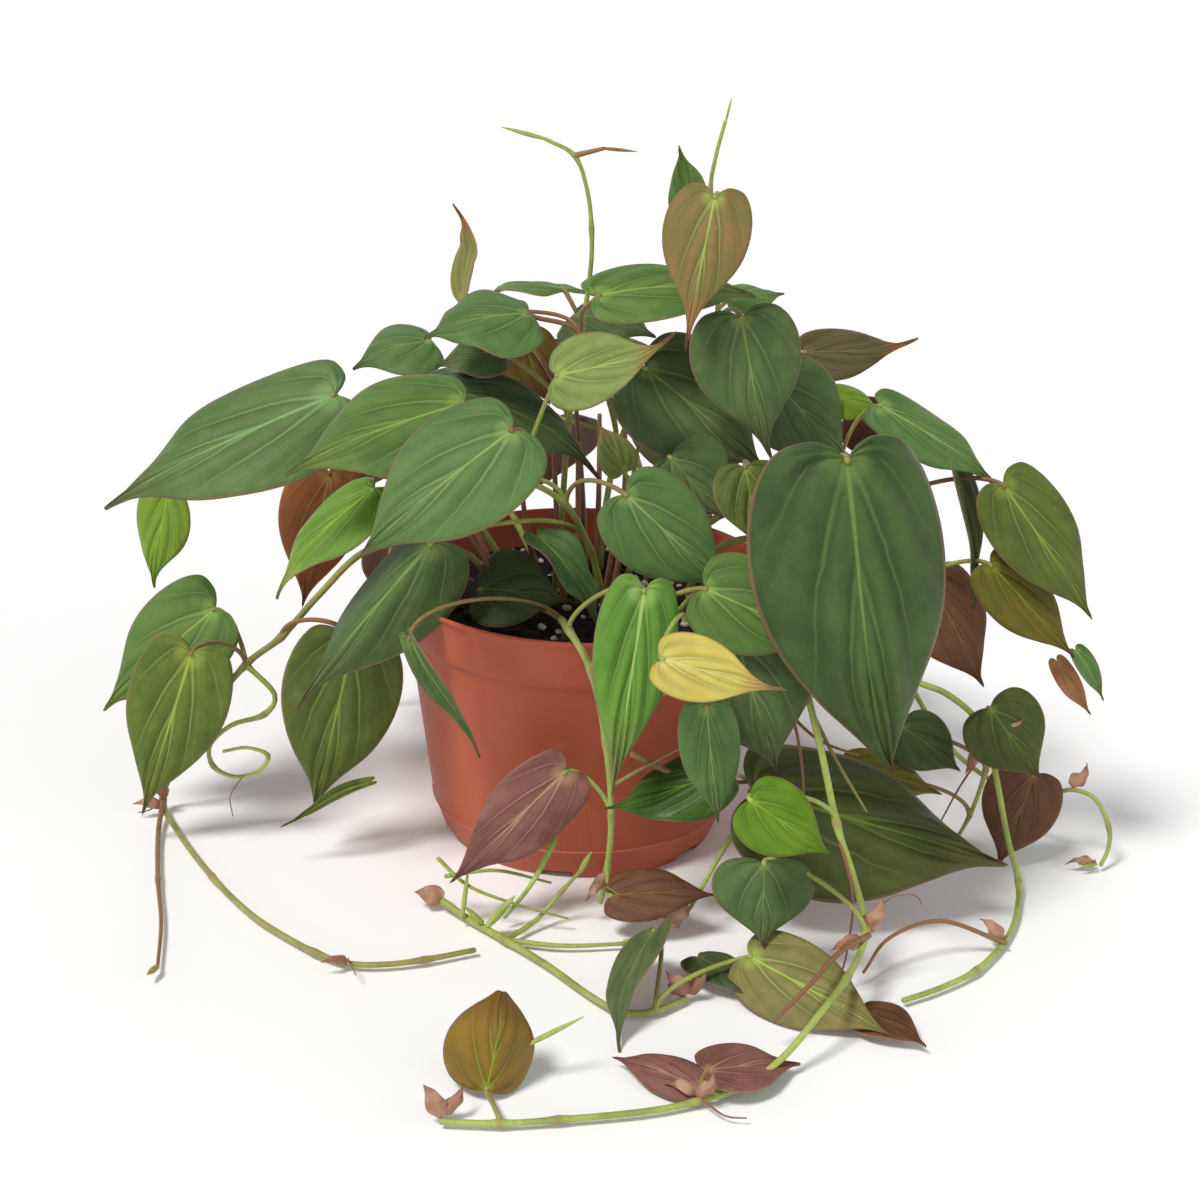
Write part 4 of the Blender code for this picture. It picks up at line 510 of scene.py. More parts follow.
# Looks of a blade, front and back: base, patches, veins, midrib, tip, how much of the tip, gloss.
# A look whose name ends in _back shows its underside on the face side.
LOOKS = {
    "green": ((0.069, 0.146, 0.037), (0.105, 0.198, 0.052), (0.149, 0.257, 0.072), (0.238, 0.385, 0.089),
              (0.109, 0.110, 0.037), 0.3, 0.55),
    "mid": ((0.076, 0.156, 0.029), (0.116, 0.210, 0.041), (0.161, 0.268, 0.057), (0.272, 0.419, 0.075),
            (0.182, 0.125, 0.041), 0.3, 0.55),
    "deep": ((0.053, 0.094, 0.026), (0.089, 0.141, 0.041), (0.122, 0.180, 0.055), (0.189, 0.274, 0.069),
             (0.133, 0.104, 0.044), 0.4, 0.58),
    "green_bronze": ((0.077, 0.139, 0.035), (0.122, 0.196, 0.055), (0.153, 0.278, 0.080),
                     (0.207, 0.391, 0.130), (0.117, 0.113, 0.045), 0.7, 0.55),
    "deep_ribbed": ((0.036, 0.066, 0.016), (0.059, 0.102, 0.025), (0.074, 0.130, 0.031),
                    (0.140, 0.217, 0.052), (0.077, 0.082, 0.023), 0.2, 0.55),
    "dark": ((0.035, 0.059, 0.016), (0.060, 0.093, 0.023), (0.078, 0.117, 0.031), (0.124, 0.186, 0.042),
             (0.075, 0.049, 0.020), 0.2, 0.52),
    "dark_olive": ((0.047, 0.064, 0.011), (0.077, 0.100, 0.019), (0.110, 0.144, 0.025),
                   (0.155, 0.232, 0.031), (0.110, 0.066, 0.022), 0.4, 0.55),
    "olive_green": ((0.064, 0.092, 0.013), (0.102, 0.139, 0.021), (0.158, 0.209, 0.035),
                    (0.224, 0.330, 0.044), (0.131, 0.087, 0.022), 0.3, 0.55),
    "striped": ((0.076, 0.121, 0.013), (0.121, 0.176, 0.022), (0.234, 0.287, 0.051), (0.336, 0.418, 0.068),
                (0.153, 0.084, 0.023), 0.3, 0.55),
    "grey_green": ((0.069, 0.106, 0.033), (0.110, 0.152, 0.053), (0.138, 0.184, 0.066),
                   (0.175, 0.248, 0.073), (0.101, 0.110, 0.053), 0.3, 0.60),
    "khaki": ((0.156, 0.152, 0.040), (0.239, 0.212, 0.063), (0.304, 0.331, 0.092), (0.368, 0.534, 0.086),
              (0.221, 0.138, 0.053), 0.5, 0.60),
    "pale_olive": ((0.158, 0.214, 0.053), (0.227, 0.291, 0.076), (0.271, 0.342, 0.092),
                   (0.367, 0.479, 0.106), (0.350, 0.163, 0.073), 0.9, 0.60),
    "pale_bronze": ((0.184, 0.193, 0.046), (0.267, 0.239, 0.063), (0.294, 0.304, 0.079),
                    (0.368, 0.414, 0.092), (0.368, 0.110, 0.046), 1.0, 0.60),
    "bronze": ((0.150, 0.135, 0.030), (0.240, 0.135, 0.048), (0.230, 0.260, 0.060), (0.330, 0.450, 0.100),
               (0.400, 0.140, 0.075), 0.9, 0.55),
    "ochre": ((0.117, 0.118, 0.012), (0.179, 0.162, 0.022), (0.220, 0.228, 0.035), (0.297, 0.338, 0.047),
              (0.159, 0.081, 0.020), 0.4, 0.55),
    "ochre_green": ((0.083, 0.092, 0.005), (0.138, 0.110, 0.009), (0.184, 0.175, 0.015),
                    (0.239, 0.276, 0.020), (0.138, 0.069, 0.010), 0.5, 0.55),
    "amber": ((0.101, 0.055, 0.008), (0.166, 0.101, 0.015), (0.193, 0.166, 0.026), (0.221, 0.267, 0.040),
              (0.156, 0.055, 0.020), 0.5, 0.50),
    "copper": ((0.175, 0.110, 0.009), (0.248, 0.138, 0.015), (0.239, 0.212, 0.026), (0.285, 0.414, 0.046),
               (0.156, 0.055, 0.017), 0.6, 0.50),
    "umber": ((0.069, 0.060, 0.017), (0.101, 0.078, 0.025), (0.110, 0.097, 0.030), (0.138, 0.138, 0.036),
              (0.442, 0.175, 0.059), 1.0, 0.55),
    "lime": ((0.136, 0.245, 0.011), (0.193, 0.301, 0.018), (0.237, 0.364, 0.036), (0.287, 0.443, 0.048),
             (0.151, 0.237, 0.018), 0.3, 0.50),
    "fresh": ((0.101, 0.221, 0.018), (0.152, 0.294, 0.030), (0.193, 0.359, 0.040), (0.276, 0.478, 0.053),
              (0.386, 0.386, 0.092), 0.6, 0.48),
    "bright": ((0.082, 0.210, 0.023), (0.121, 0.268, 0.033), (0.164, 0.321, 0.051), (0.367, 0.545, 0.149),
               (0.251, 0.165, 0.082), 0.7, 0.50),
    "vivid": ((0.077, 0.175, 0.003), (0.112, 0.227, 0.006), (0.148, 0.280, 0.014), (0.218, 0.363, 0.028),
              (0.119, 0.117, 0.009), 0.3, 0.42),
    "glossy": ((0.031, 0.078, 0.009), (0.055, 0.129, 0.015), (0.078, 0.184, 0.020), (0.147, 0.304, 0.040),
               (0.101, 0.212, 0.020), 0.4, 0.34),
    "yellow": ((0.475, 0.378, 0.071), (0.560, 0.470, 0.097), (0.542, 0.511, 0.141), (0.610, 0.587, 0.193),
               (0.475, 0.210, 0.097), 0.9, 0.50),
    "brown_back": ((0.214, 0.071, 0.019), (0.299, 0.104, 0.027), (0.343, 0.150, 0.047),
                   (0.370, 0.219, 0.060), (0.171, 0.051, 0.017), 0.5, 0.55),
    "umber_back": ((0.091, 0.035, 0.013), (0.142, 0.058, 0.022), (0.162, 0.075, 0.030),
                   (0.202, 0.124, 0.041), (0.081, 0.029, 0.012), 0.5, 0.55),
    "mauve_back": ((0.171, 0.066, 0.050), (0.253, 0.108, 0.086), (0.385, 0.200, 0.154),
                   (0.446, 0.288, 0.132), (0.152, 0.048, 0.036), 0.7, 0.50),
    "rust_back": ((0.304, 0.120, 0.053), (0.396, 0.175, 0.079), (0.442, 0.230, 0.106),
                  (0.460, 0.294, 0.132), (0.276, 0.092, 0.040), 0.5, 0.55),
}
GREEN_BACK = ((0.120, 0.170, 0.045), (0.170, 0.210, 0.060), (0.230, 0.280, 0.090), (0.300, 0.380, 0.110),
              (0.160, 0.100, 0.050), 0.6, 0.50)
BROWN_BACK = ((0.120, 0.058, 0.032), (0.180, 0.090, 0.052), (0.240, 0.140, 0.080), (0.300, 0.240, 0.090),
              (0.110, 0.045, 0.030), 0.6, 0.50)
GREEN_BACKED = ("mid", "lime", "fresh", "vivid", "yellow", "green", "bright")
# Stalks whose colour is plain to see, from green to red.
STALK_BLUSH = {
    "leaf_top_folded": 0.95, "leaf_crown_3": 0.9, "leaf_top_left": 0.8, "leaf_crown_1": 0.9,
    "leaf_left_face": 0.95, "leaf_left_broad": 0.4, "leaf_left_long": 0.5, "leaf_left_brown": 0.95,
    "leaf_left_fresh": 0.1, "leaf_left_hanging": 0.2, "leaf_left_outer": 0.35, "leaf_left_outer_low": 0.7,
    "leaf_left_low": 0.9, "leaf_front_brown": 0.05, "leaf_front_bright": 0.3, "leaf_front_yellow": 0.1,
    "leaf_front_young": 0.1, "leaf_front_glossy": 0.05, "leaf_right_outer": 0.9, "leaf_right_high": 0.5,
    "leaf_floor_1": 0.5, "leaf_floor_2": 0.3, "leaf_floor_5": 0.2, "leaf_crown_4": 0.3, "leaf_mid_long": 0.6,
}


# Stalks that start on another leaf's stalk.
STALK_STARTS = {"leaf_front_yellow": (3.7, -9.3, 12.6)}
# Vines whose colour is plain to see, from green to red.
VINE_BLUSH = {"vine_left": 0.45, "vine_arc": 0.10, "vine_front": 0.15, "vine_loop": 0.12, "vine_floor": 0.25}
SHOOT_BLUSH = {"left_runner": 0.9, "left_curl": 0.1, "loop_spur": 0.5, "crown_fork": 0.9}
# How thick a vine still is at its tip, where it tapers more than most.
TIP_SHARES = {"vine_spire": 0.50, "vine_crown": 0.50, "vine_curl": 0.60}


# ---- settings that a user would change --------------------------------------------------------
class PhilodendronPot(bpy.types.PropertyGroup):
    """The pot."""
    colour: FloatVectorProperty(name="Colour", description="Colour of the pot's plastic", subtype="COLOR",
                                size=3, min=0.0, max=1.0, default=(0.450, 0.094, 0.043))
    # The worn colour paints the scuffs and also a painted highlight along the moulded foot line.
    sheen_colour: FloatVectorProperty(name="Worn colour", description="Colour where the plastic is scuffed",
                                      subtype="COLOR", size=3, min=0.0, max=1.0,
                                      default=(0.560, 0.160, 0.085))
    line_rise: FloatProperty(name="Line rise", description="Height of the moulded line above the wall",
                             default=0.0004, min=0.0, max=0.002, unit="LENGTH")


class PhilodendronMix(bpy.types.PropertyGroup):
    """The potting mix."""
    colour: FloatVectorProperty(name="Colour", description="Colour of the damp peat", subtype="COLOR",
                                size=3, min=0.0, max=1.0, default=(0.018, 0.011, 0.008))
    roughness: FloatProperty(name="Unevenness", description="Height of the lumps on the surface",
                             default=0.0022, min=0.0, max=0.01, unit="LENGTH")
    perlite: IntProperty(name="Perlite", description="Number of white perlite grains", default=90, min=0)
    bark: IntProperty(name="Bark", description="Number of bark chips and fibres", default=170, min=0)


class PhilodendronStems(bpy.types.PropertyGroup):
    """The vines and leaf stalks."""
    vine_radius: FloatProperty(name="Vine radius", description="Radius of a vine at its rooted end",
                               default=0.00142, min=0.0005, max=0.004, unit="LENGTH")
    stalk_radius: FloatProperty(name="Stalk radius", description="Radius of a leaf stalk",
                                default=0.0009, min=0.0003, max=0.003, unit="LENGTH")
    colour: FloatVectorProperty(name="Colour", description="Colour of a stem", subtype="COLOR",
                                size=3, min=0.0, max=1.0, default=(0.260, 0.350, 0.070))
    blush: FloatVectorProperty(name="Blush", description="Colour of a reddened stem", subtype="COLOR",
                               size=3, min=0.0, max=1.0, default=(0.230, 0.085, 0.045))


class PhilodendronLeaves(bpy.types.PropertyGroup):
    """The leaf blades."""
    thickness: FloatProperty(name="Thickness", description="Thickness of a blade", default=0.0004,
                             min=0.0001, max=0.002, unit="LENGTH")
    edge_colour: FloatVectorProperty(name="Edge", description="Colour of the thin margin", subtype="COLOR",
                                     size=3, min=0.0, max=1.0, default=(0.250, 0.140, 0.085))
    detail: IntProperty(name="Detail", description="Rows of faces along a blade's margin", default=56,
                        min=12, max=160)


class PhilodendronStage(bpy.types.PropertyGroup):
    """The floor and the lights."""
    floor: FloatVectorProperty(name="Floor", description="Colour of the floor", subtype="COLOR",
                               size=3, min=0.0, max=1.0, default=(0.97, 0.97, 0.965))
    light: FloatProperty(name="Light", description="Strength of the studio light", default=1.0, min=0.0,
                         max=10.0)


def settings(name):
    """One group of settings of the current scene."""
    return getattr(bpy.context.scene, "philodendron_" + name)


# ---- helpers for meshes -----------------------------------------------------------------------
def to_metres(point):
    """A point given in centimetres."""
    return Vector(point) * CM


def add_piece(name, mesh, stands_for=None):
    """An object for a mesh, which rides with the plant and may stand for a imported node."""
    piece = bpy.data.objects.new(name, mesh)
    bpy.context.scene.collection.objects.link(piece)
    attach(piece, ONLY_BODY)
    if stands_for:
        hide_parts(stands_for)
    return piece


def spline(points, step):
    """Points about one step apart on a smooth curve through the given ones."""
    knots = [Vector(p) for p in points]
    knots = [2 * knots[0] - knots[1]] + knots + [2 * knots[-1] - knots[-2]]
    found = []
    for before, start, end, after in zip(knots, knots[1:], knots[2:], knots[3:]):
        count = max(1, round((end - start).length / step))
        for index in range(count):
            t = index / count
            found.append(0.5 * (2 * start + (end - before) * t
                                + (2 * before - 5 * start + 4 * end - after) * t ** 2
                                + (3 * start - before - 3 * end + after) * t ** 3))
    return found + [knots[-2]]


class Bundle:
    """Tubes gathered into one mesh, each point with its place along the tube, its blush and its scar."""

    def __init__(self):
        self.points, self.faces = [], []
        self.along, self.blush, self.scar = [], [], []

    def add_tube(self, path, radii, blush=0.0, scars=None, sides=10):
        """One closed tube with rounded ends along a path."""
        path = [Vector(p) for p in path]
        scars = scars or [0.0] * len(path)
        total = sum((b - a).length for a, b in zip(path, path[1:]))
        first, last = (path[1] - path[0]).normalized(), (path[-1] - path[-2]).normalized()
        normal = first.orthogonal().normalized()
        rings, travelled = [], 0.0
        for index, point in enumerate(path):
            before, after = path[max(0, index - 1)], path[min(len(path) - 1, index + 1)]
            forward = (after - before).normalized()
            normal = (normal - normal.dot(forward) * forward).normalized()
            travelled += (point - before).length if index else 0.0
            rings.append((point, normal.copy(), forward.cross(normal), radii[index], travelled / total,
                          scars[index]))
        start, end = rings[0], rings[-1]
        rings.insert(0, (start[0] - 0.5 * start[3] * first, *start[1:3], 0.6 * start[3], 0.0, start[5]))
        rings.append((end[0] + 0.5 * end[3] * last, *end[1:3], 0.6 * end[3], 1.0, end[5]))
        base = len(self.points)
        for point, side, up, radius, share, scar in rings:
            for corner in range(sides):
                turn = math.tau * corner / sides
                corner_point = point + radius * (math.cos(turn) * side + math.sin(turn) * up)
                corner_point.z = max(0.0, corner_point.z)
                self.points.append(corner_point)
                self.along.append(share)
                self.blush.append(blush)
                self.scar.append(scar)
        for ring in range(len(rings) - 1):
            low = base + ring * sides
            for corner in range(sides):
                following = (corner + 1) % sides
                self.faces.append((low + corner, low + following, low + sides + following,
                                   low + sides + corner))
        self.faces.append(tuple(base + corner for corner in reversed(range(sides))))
        top = base + (len(rings) - 1) * sides
        self.faces.append(tuple(top + corner for corner in range(sides)))

    def mesh(self, name, material):
        """The gathered tubes as one mesh."""
        mesh = bpy.data.meshes.new(name)
        mesh.from_pydata([tuple(p) for p in self.points], [], self.faces)
        for label, values in (("along", self.along), ("blush", self.blush), ("scar", self.scar)):
            mesh.attributes.new(label, "FLOAT", "POINT").data.foreach_set("value", values)
        mesh.materials.append(material)
        mesh.shade_smooth()
        return mesh


# ---- helpers for materials --------------------------------------------------------------------
class Finish:
    """A Principled material under construction."""

    def __init__(self, name, roughness=0.5, specular=0.4, sheen=0.0, sheen_roughness=0.4,
                 sheen_tint=(1.0, 1.0, 1.0), coat=0.0):
        self.material = bpy.data.materials.new(name)
        self.material.use_nodes = True
        self.nodes = self.material.node_tree.nodes
        self.links = self.material.node_tree.links
        self.shader = self.nodes["Principled BSDF"]
        self.shader.inputs["Roughness"].default_value = roughness
        self.shader.inputs["Specular IOR Level"].default_value = specular
        self.shader.inputs["Sheen Weight"].default_value = sheen
        self.shader.inputs["Sheen Roughness"].default_value = sheen_roughness
        self.shader.inputs["Sheen Tint"].default_value = (*sheen_tint, 1.0)
        self.shader.inputs["Coat Weight"].default_value = coat

    def put(self, socket, value):
        """Link or set one input."""
        if isinstance(value, bpy.types.NodeSocket):
            self.links.new(value, socket)
        elif isinstance(value, tuple) and len(value) == 3 and socket.type == "RGBA":
            socket.default_value = (*value, 1.0)
        else:
            socket.default_value = value

    def math(self, operation, *values):
        """A Math node."""
        node = self.nodes.new("ShaderNodeMath")
        node.operation = operation
        for index, value in enumerate(values):
            self.put(node.inputs[index], value)
        return node.outputs[0]

    def span(self, value, low, high, to_low=0.0, to_high=1.0):
        """A smooth step from one range of values to another."""
        node = self.nodes.new("ShaderNodeMapRange")
        node.interpolation_type = "SMOOTHSTEP"
        for index, given in enumerate((value, low, high, to_low, to_high)):
            self.put(node.inputs[index], given)
        return node.outputs[0]

    def blend(self, factor, first, second):
        """A mix of two colours."""
        node = self.nodes.new("ShaderNodeMix")
        node.data_type = "RGBA"
        self.put(node.inputs[0], factor)
        self.put(node.inputs[6], first)
        self.put(node.inputs[7], second)
        return node.outputs[2]

    def noise(self, scale, detail=3.0, stretch=None, distortion=0.0):
        """A noise texture in the object's own space."""
        texture = self.nodes.new("ShaderNodeTexNoise")
        texture.inputs["Scale"].default_value = scale
        texture.inputs["Detail"].default_value = detail
        texture.inputs["Distortion"].default_value = distortion
        place = self.nodes.new("ShaderNodeTexCoord").outputs["Object"]
        if stretch:
            mapping = self.nodes.new("ShaderNodeMapping")
            mapping.inputs["Scale"].default_value = stretch
            self.links.new(place, mapping.inputs["Vector"])
            place = mapping.outputs["Vector"]
        self.links.new(place, texture.inputs["Vector"])
        return texture.outputs["Fac"]

    def attribute(self, name):
        """A number kept on the mesh."""
        node = self.nodes.new("ShaderNodeAttribute")
        node.attribute_name = name
        return node.outputs["Fac"]

    def map_place(self, name):
        """The two numbers of one UV map."""
        node = self.nodes.new("ShaderNodeUVMap")
        node.uv_map = name
        split = self.nodes.new("ShaderNodeSeparateXYZ")
        self.links.new(node.outputs["UV"], split.inputs[0])
        return split.outputs[0], split.outputs[1]

    def finish(self, colour, roughness=None, height=None, depth=0.0003, strength=0.5):
        """Link the colour, the roughness and the bump."""
        self.put(self.shader.inputs["Base Color"], colour)
        if roughness is not None:
            self.put(self.shader.inputs["Roughness"], roughness)
        if height is not None:
            bump = self.nodes.new("ShaderNodeBump")
            bump.inputs["Strength"].default_value = strength
            bump.inputs["Distance"].default_value = depth
            self.links.new(height, bump.inputs["Height"])
            self.links.new(bump.outputs["Normal"], self.shader.inputs["Normal"])
        return self.material


def blade_finish(name, look, back):
    """The velvet of a blade: mottled base, veins that fan from the notch with painted shade beside them,
    midrib, tip and margin.
    """
    base, patches, veins, midrib, tip, tip_share, gloss = look
    sheen = 0.05 if back else 0.08
    skin = Finish(name, specular=0.26, sheen=sheen, sheen_roughness=0.35, sheen_tint=(0.80, 0.92, 0.72))
    around, across = skin.map_place("fan")
    along, off_rib = skin.map_place("place")
    share = skin.math("ABSOLUTE", skin.math("MULTIPLY_ADD", across, 2.0, -1.0))
    inward = skin.math("SUBTRACT", 1.0, share)
    bend = skin.math("MULTIPLY", skin.math("POWER", inward, VEIN_POWER), VEIN_BEND)
    wander = skin.math("MULTIPLY_ADD", skin.noise(70.0, 2.0), 0.05, -0.025)
    label = skin.math("ADD", skin.math("ADD", around, bend), wander)
    phase = skin.math("MULTIPLY", label, VEIN_COUNT)
    spread = skin.math("ADD", share, 0.10)
    between = skin.math("PINGPONG", phase, 0.5)
    gap = skin.math("MULTIPLY", between, spread)
    swell = skin.math("MULTIPLY", skin.span(between, 0.02, 0.42), skin.span(share, 1.0, 0.55))
    line = skin.math("MULTIPLY", skin.span(gap, 0.034, 0.007), skin.span(share, 1.02, 0.30))
    halo = skin.math("MULTIPLY", skin.span(gap, 0.20, 0.02), inward)
    fine_gap = skin.math("PINGPONG", skin.math("MULTIPLY", phase, 4.0), 0.5)
    fine = skin.math("MULTIPLY", skin.span(fine_gap, 0.22, 0.04), skin.span(share, 0.15, 0.5))
    rib_gap = skin.math("ABSOLUTE", skin.math("SUBTRACT", off_rib, 0.5))
    rib_width = skin.span(along, 1.0, -0.05, 0.0013, 0.0085)
    rib = skin.span(skin.math("DIVIDE", rib_gap, rib_width), 1.5, 0.5)
    rib = skin.math("MULTIPLY", rib, skin.span(along, 1.0, 0.45, 0.25, 1.0))
    knot = skin.span(skin.math("ADD", skin.math("POWER", rib_gap, 2.0),
                               skin.math("POWER", along, 2.0)), 0.010, 0.0)
    edge = skin.span(share, 0.955, 0.985)
    mottle = skin.noise(140.0, 5.0)
    patch = skin.noise(32.0, 3.0, distortion=0.6)
    nap = skin.noise(2600.0, 2.0)
    colour = skin.blend(skin.span(skin.math("MULTIPLY_ADD", mottle, 0.5, skin.math("MULTIPLY", patch, 0.5)),
                                  0.36, 0.66), base, patches)
    colour = skin.blend(skin.math("MULTIPLY", halo, 0.22), colour, veins)
    # Painted shade: the base is darkened beside each vein, fading towards the margin, to deepen the look of
    # the grooves.
    painted_vein_shade = skin.math("MULTIPLY", skin.span(between, 0.34, 0.08), skin.span(share, 1.0, 0.4))
    colour = skin.blend(skin.math("MULTIPLY", painted_vein_shade, 0.42), colour, tuple(0.45 * value for value in base))
    colour = skin.blend(skin.math("MULTIPLY", fine, 0.06), colour, veins)
    colour = skin.blend(skin.math("MULTIPLY", line, 0.80 if back else 0.85), colour, veins)
    tinted = skin.math("MULTIPLY", skin.span(skin.math("MULTIPLY_ADD", patch, 0.25, along), 0.70, 1.10),
                       tip_share)
    colour = skin.blend(tinted, colour, tip)
    colour = skin.blend(skin.math("MULTIPLY", skin.math("MAXIMUM", rib, skin.math("MULTIPLY", knot, 0.55)),
                                  0.85), colour, midrib)
    speck = skin.span(skin.noise(900.0, 0.0), 0.80, 0.86)
    colour = skin.blend(skin.math("MULTIPLY", speck, 0.35), colour, midrib)
    colour = skin.blend(skin.math("MULTIPLY", edge, 0.75), colour, tuple(settings("leaves").edge_colour))
    grooves = skin.math("ADD", skin.math("MULTIPLY", line, 0.8), rib)
    grooves = skin.math("ADD", grooves, skin.math("MULTIPLY", fine, 0.25))
    grooves = skin.math("MULTIPLY_ADD", swell, -1.3, grooves)
    height = skin.math("MULTIPLY_ADD", grooves, 0.9 if back else -0.9, skin.math("MULTIPLY", nap, 0.30))
    roughness = skin.span(mottle, 0.3, 0.7, gloss - 0.06, gloss + 0.08)
    return skin.finish(colour, roughness, height, depth=0.0005, strength=0.6)


def edge_finish():
    """The thin cut of a blade's margin."""
    skin = Finish("leaf_margin", roughness=0.55, specular=0.3)
    colour = tuple(settings("leaves").edge_colour)
    lighter = tuple(min(1.0, 1.5 * value) for value in colour)
    return skin.finish(skin.blend(skin.noise(300.0), colour, lighter))


def stem_finish():
    """Smooth yellow-green stem, red where it blushes, with a pale ring at each node."""
    look = settings("stems")
    green, red = tuple(look.colour), tuple(look.blush)
    skin = Finish("stem_skin", specular=0.45, sheen=0.05)
    blush, along, scar = skin.attribute("blush"), skin.attribute("along"), skin.attribute("scar")
    patch = skin.noise(90.0, 4.0, stretch=(1.0, 1.0, 0.4))
    streak = skin.noise(700.0, 3.0)
    paler = tuple(min(1.0, 1.45 * value) for value in green)
    colour = skin.blend(skin.span(patch, 0.35, 0.65), green, paler)
    redness = skin.math("MULTIPLY", blush, skin.span(skin.math("MULTIPLY_ADD", patch, 0.6, along),
                                                     -0.1, 0.7, 0.75, 1.0))
    colour = skin.blend(redness, colour, red)
    colour = skin.blend(skin.math("MULTIPLY", skin.span(streak, 0.45, 0.75), 0.25), colour,
                        tuple(0.6 * value for value in red))
    colour = skin.blend(skin.math("MULTIPLY", scar, 0.7), colour, (0.300, 0.200, 0.090))
    height = skin.math("MULTIPLY_ADD", scar, -0.5, streak)
    return skin.finish(colour, skin.span(patch, 0.3, 0.7, 0.38, 0.55), height, depth=0.0003, strength=0.4)


def bract_finish():
    """Dry papery bract: pinkish brown with long fibres."""
    skin = Finish("bract_paper", specular=0.3, sheen=0.1)
    along, off_rib = skin.map_place("place")
    fibre = skin.math("PINGPONG", skin.math("MULTIPLY", off_rib, 26.0), 0.5)
    patch = skin.noise(160.0, 4.0)
    colour = skin.blend(skin.span(patch, 0.35, 0.65), (0.300, 0.140, 0.085), (0.520, 0.310, 0.205))
    colour = skin.blend(skin.math("MULTIPLY", skin.span(fibre, 0.1, 0.4), 0.3), colour,
                        (0.240, 0.095, 0.060))
    colour = skin.blend(skin.span(along, 0.75, 1.05), colour, (0.190, 0.075, 0.045))
    return skin.finish(colour, 0.6, fibre, depth=0.0004, strength=0.5)


def pot_finish():
    """Moulded terracotta-coloured plastic: soft mottling, scuffs, a painted highlight along the foot line
    and a satin skin.
    """
    look = settings("pot")
    base, worn_and_highlight = tuple(look.colour), tuple(look.sheen_colour)
    skin = Finish("pot_plastic_skin", specular=0.32, sheen=0.05, sheen_roughness=0.5)
    cloud = skin.noise(16.0, 3.0)
    grain = skin.noise(1500.0, 3.0)
    scuff = skin.noise(240.0, 5.0, stretch=(1.0, 1.0, 0.10), distortion=0.4)
    dust = skin.noise(60.0, 4.0)
    deeper = tuple(0.80 * value for value in base)
    colour = skin.blend(skin.span(cloud, 0.3, 0.7), deeper, base)
    colour = skin.blend(skin.math("MULTIPLY", skin.span(scuff, 0.60, 0.80), 0.30), colour, worn_and_highlight)
    colour = skin.blend(skin.math("MULTIPLY", skin.span(dust, 0.62, 0.80), 0.10), colour,
                        (0.60, 0.26, 0.17))
    # Painted highlight: the raised moulded line near the foot is painted in the lighter worn colour.
    colour = skin.blend(skin.math("MULTIPLY", skin.attribute("line"), 0.55), colour, worn_and_highlight)
    height = skin.math("MULTIPLY_ADD", scuff, 0.35, skin.math("MULTIPLY", grain, 0.5))
    return skin.finish(colour, skin.span(cloud, 0.3, 0.7, 0.50, 0.62), height, depth=0.0002, strength=0.35)


def mix_finish():
    """Damp peat and bark."""
    base = tuple(settings("mix").colour)
    skin = Finish("damp_mix", specular=0.25)
    crumb = skin.noise(420.0, 6.0)
    clump = skin.noise(120.0, 4.0)
    fibre = skin.noise(900.0, 4.0, stretch=(1.0, 0.25, 1.0))
    colour = skin.blend(skin.span(crumb, 0.35, 0.70), tuple(0.45 * value for value in base), base)
    colour = skin.blend(skin.span(clump, 0.50, 0.75), colour, (0.050, 0.028, 0.016))
    colour = skin.blend(skin.math("MULTIPLY", skin.span(fibre, 0.62, 0.75), 0.5), colour,
                        (0.110, 0.062, 0.034))
    height = skin.math("ADD", crumb, skin.math("MULTIPLY", fibre, 0.5))
    return skin.finish(colour, skin.span(clump, 0.3, 0.7, 0.72, 0.98), height, depth=0.0015, strength=0.9)


def grain_finish(name, low, high, roughness):
    """A crumbly grain in two colours."""
    skin = Finish(name, specular=0.25)
    pores = skin.noise(1400.0, 5.0)
    stain = skin.noise(180.0, 3.0)
    colour = skin.blend(skin.span(stain, 0.30, 0.65), low, high)
    return skin.finish(colour, roughness, pores, depth=0.0004, strength=0.8)


# ---- the pot ----------------------------------------------------------------------------------
def wall_radius(height):
    """The outer radius of the pot's wall at a height."""
    band_low = POT_HEIGHT - RIM_BAND_HEIGHT
    if height <= FOOT_LINE_HEIGHT:
        return FOOT_RADIUS + (FOOT_LINE_RADIUS - FOOT_RADIUS) * height / FOOT_LINE_HEIGHT
    if height <= band_low:
        share = (height - FOOT_LINE_HEIGHT) / (band_low - FOOT_LINE_HEIGHT)
        return FOOT_LINE_RADIUS + (BODY_TOP_RADIUS - FOOT_LINE_RADIUS) * share
    share = (height - band_low) / RIM_BAND_HEIGHT
    return RIM_BAND_LOW_RADIUS + (RIM_RADIUS - RIM_LIP - RIM_BAND_LOW_RADIUS) * share


def arc(centre, radius, first, last, steps):
    """Points on an arc in the (radius, height) plane, between two angles in degrees."""
    angles = [math.radians(first + (last - first) * index / steps) for index in range(steps + 1)]
    return [(centre[0] + radius * math.cos(a), centre[1] + radius * math.sin(a)) for a in angles]


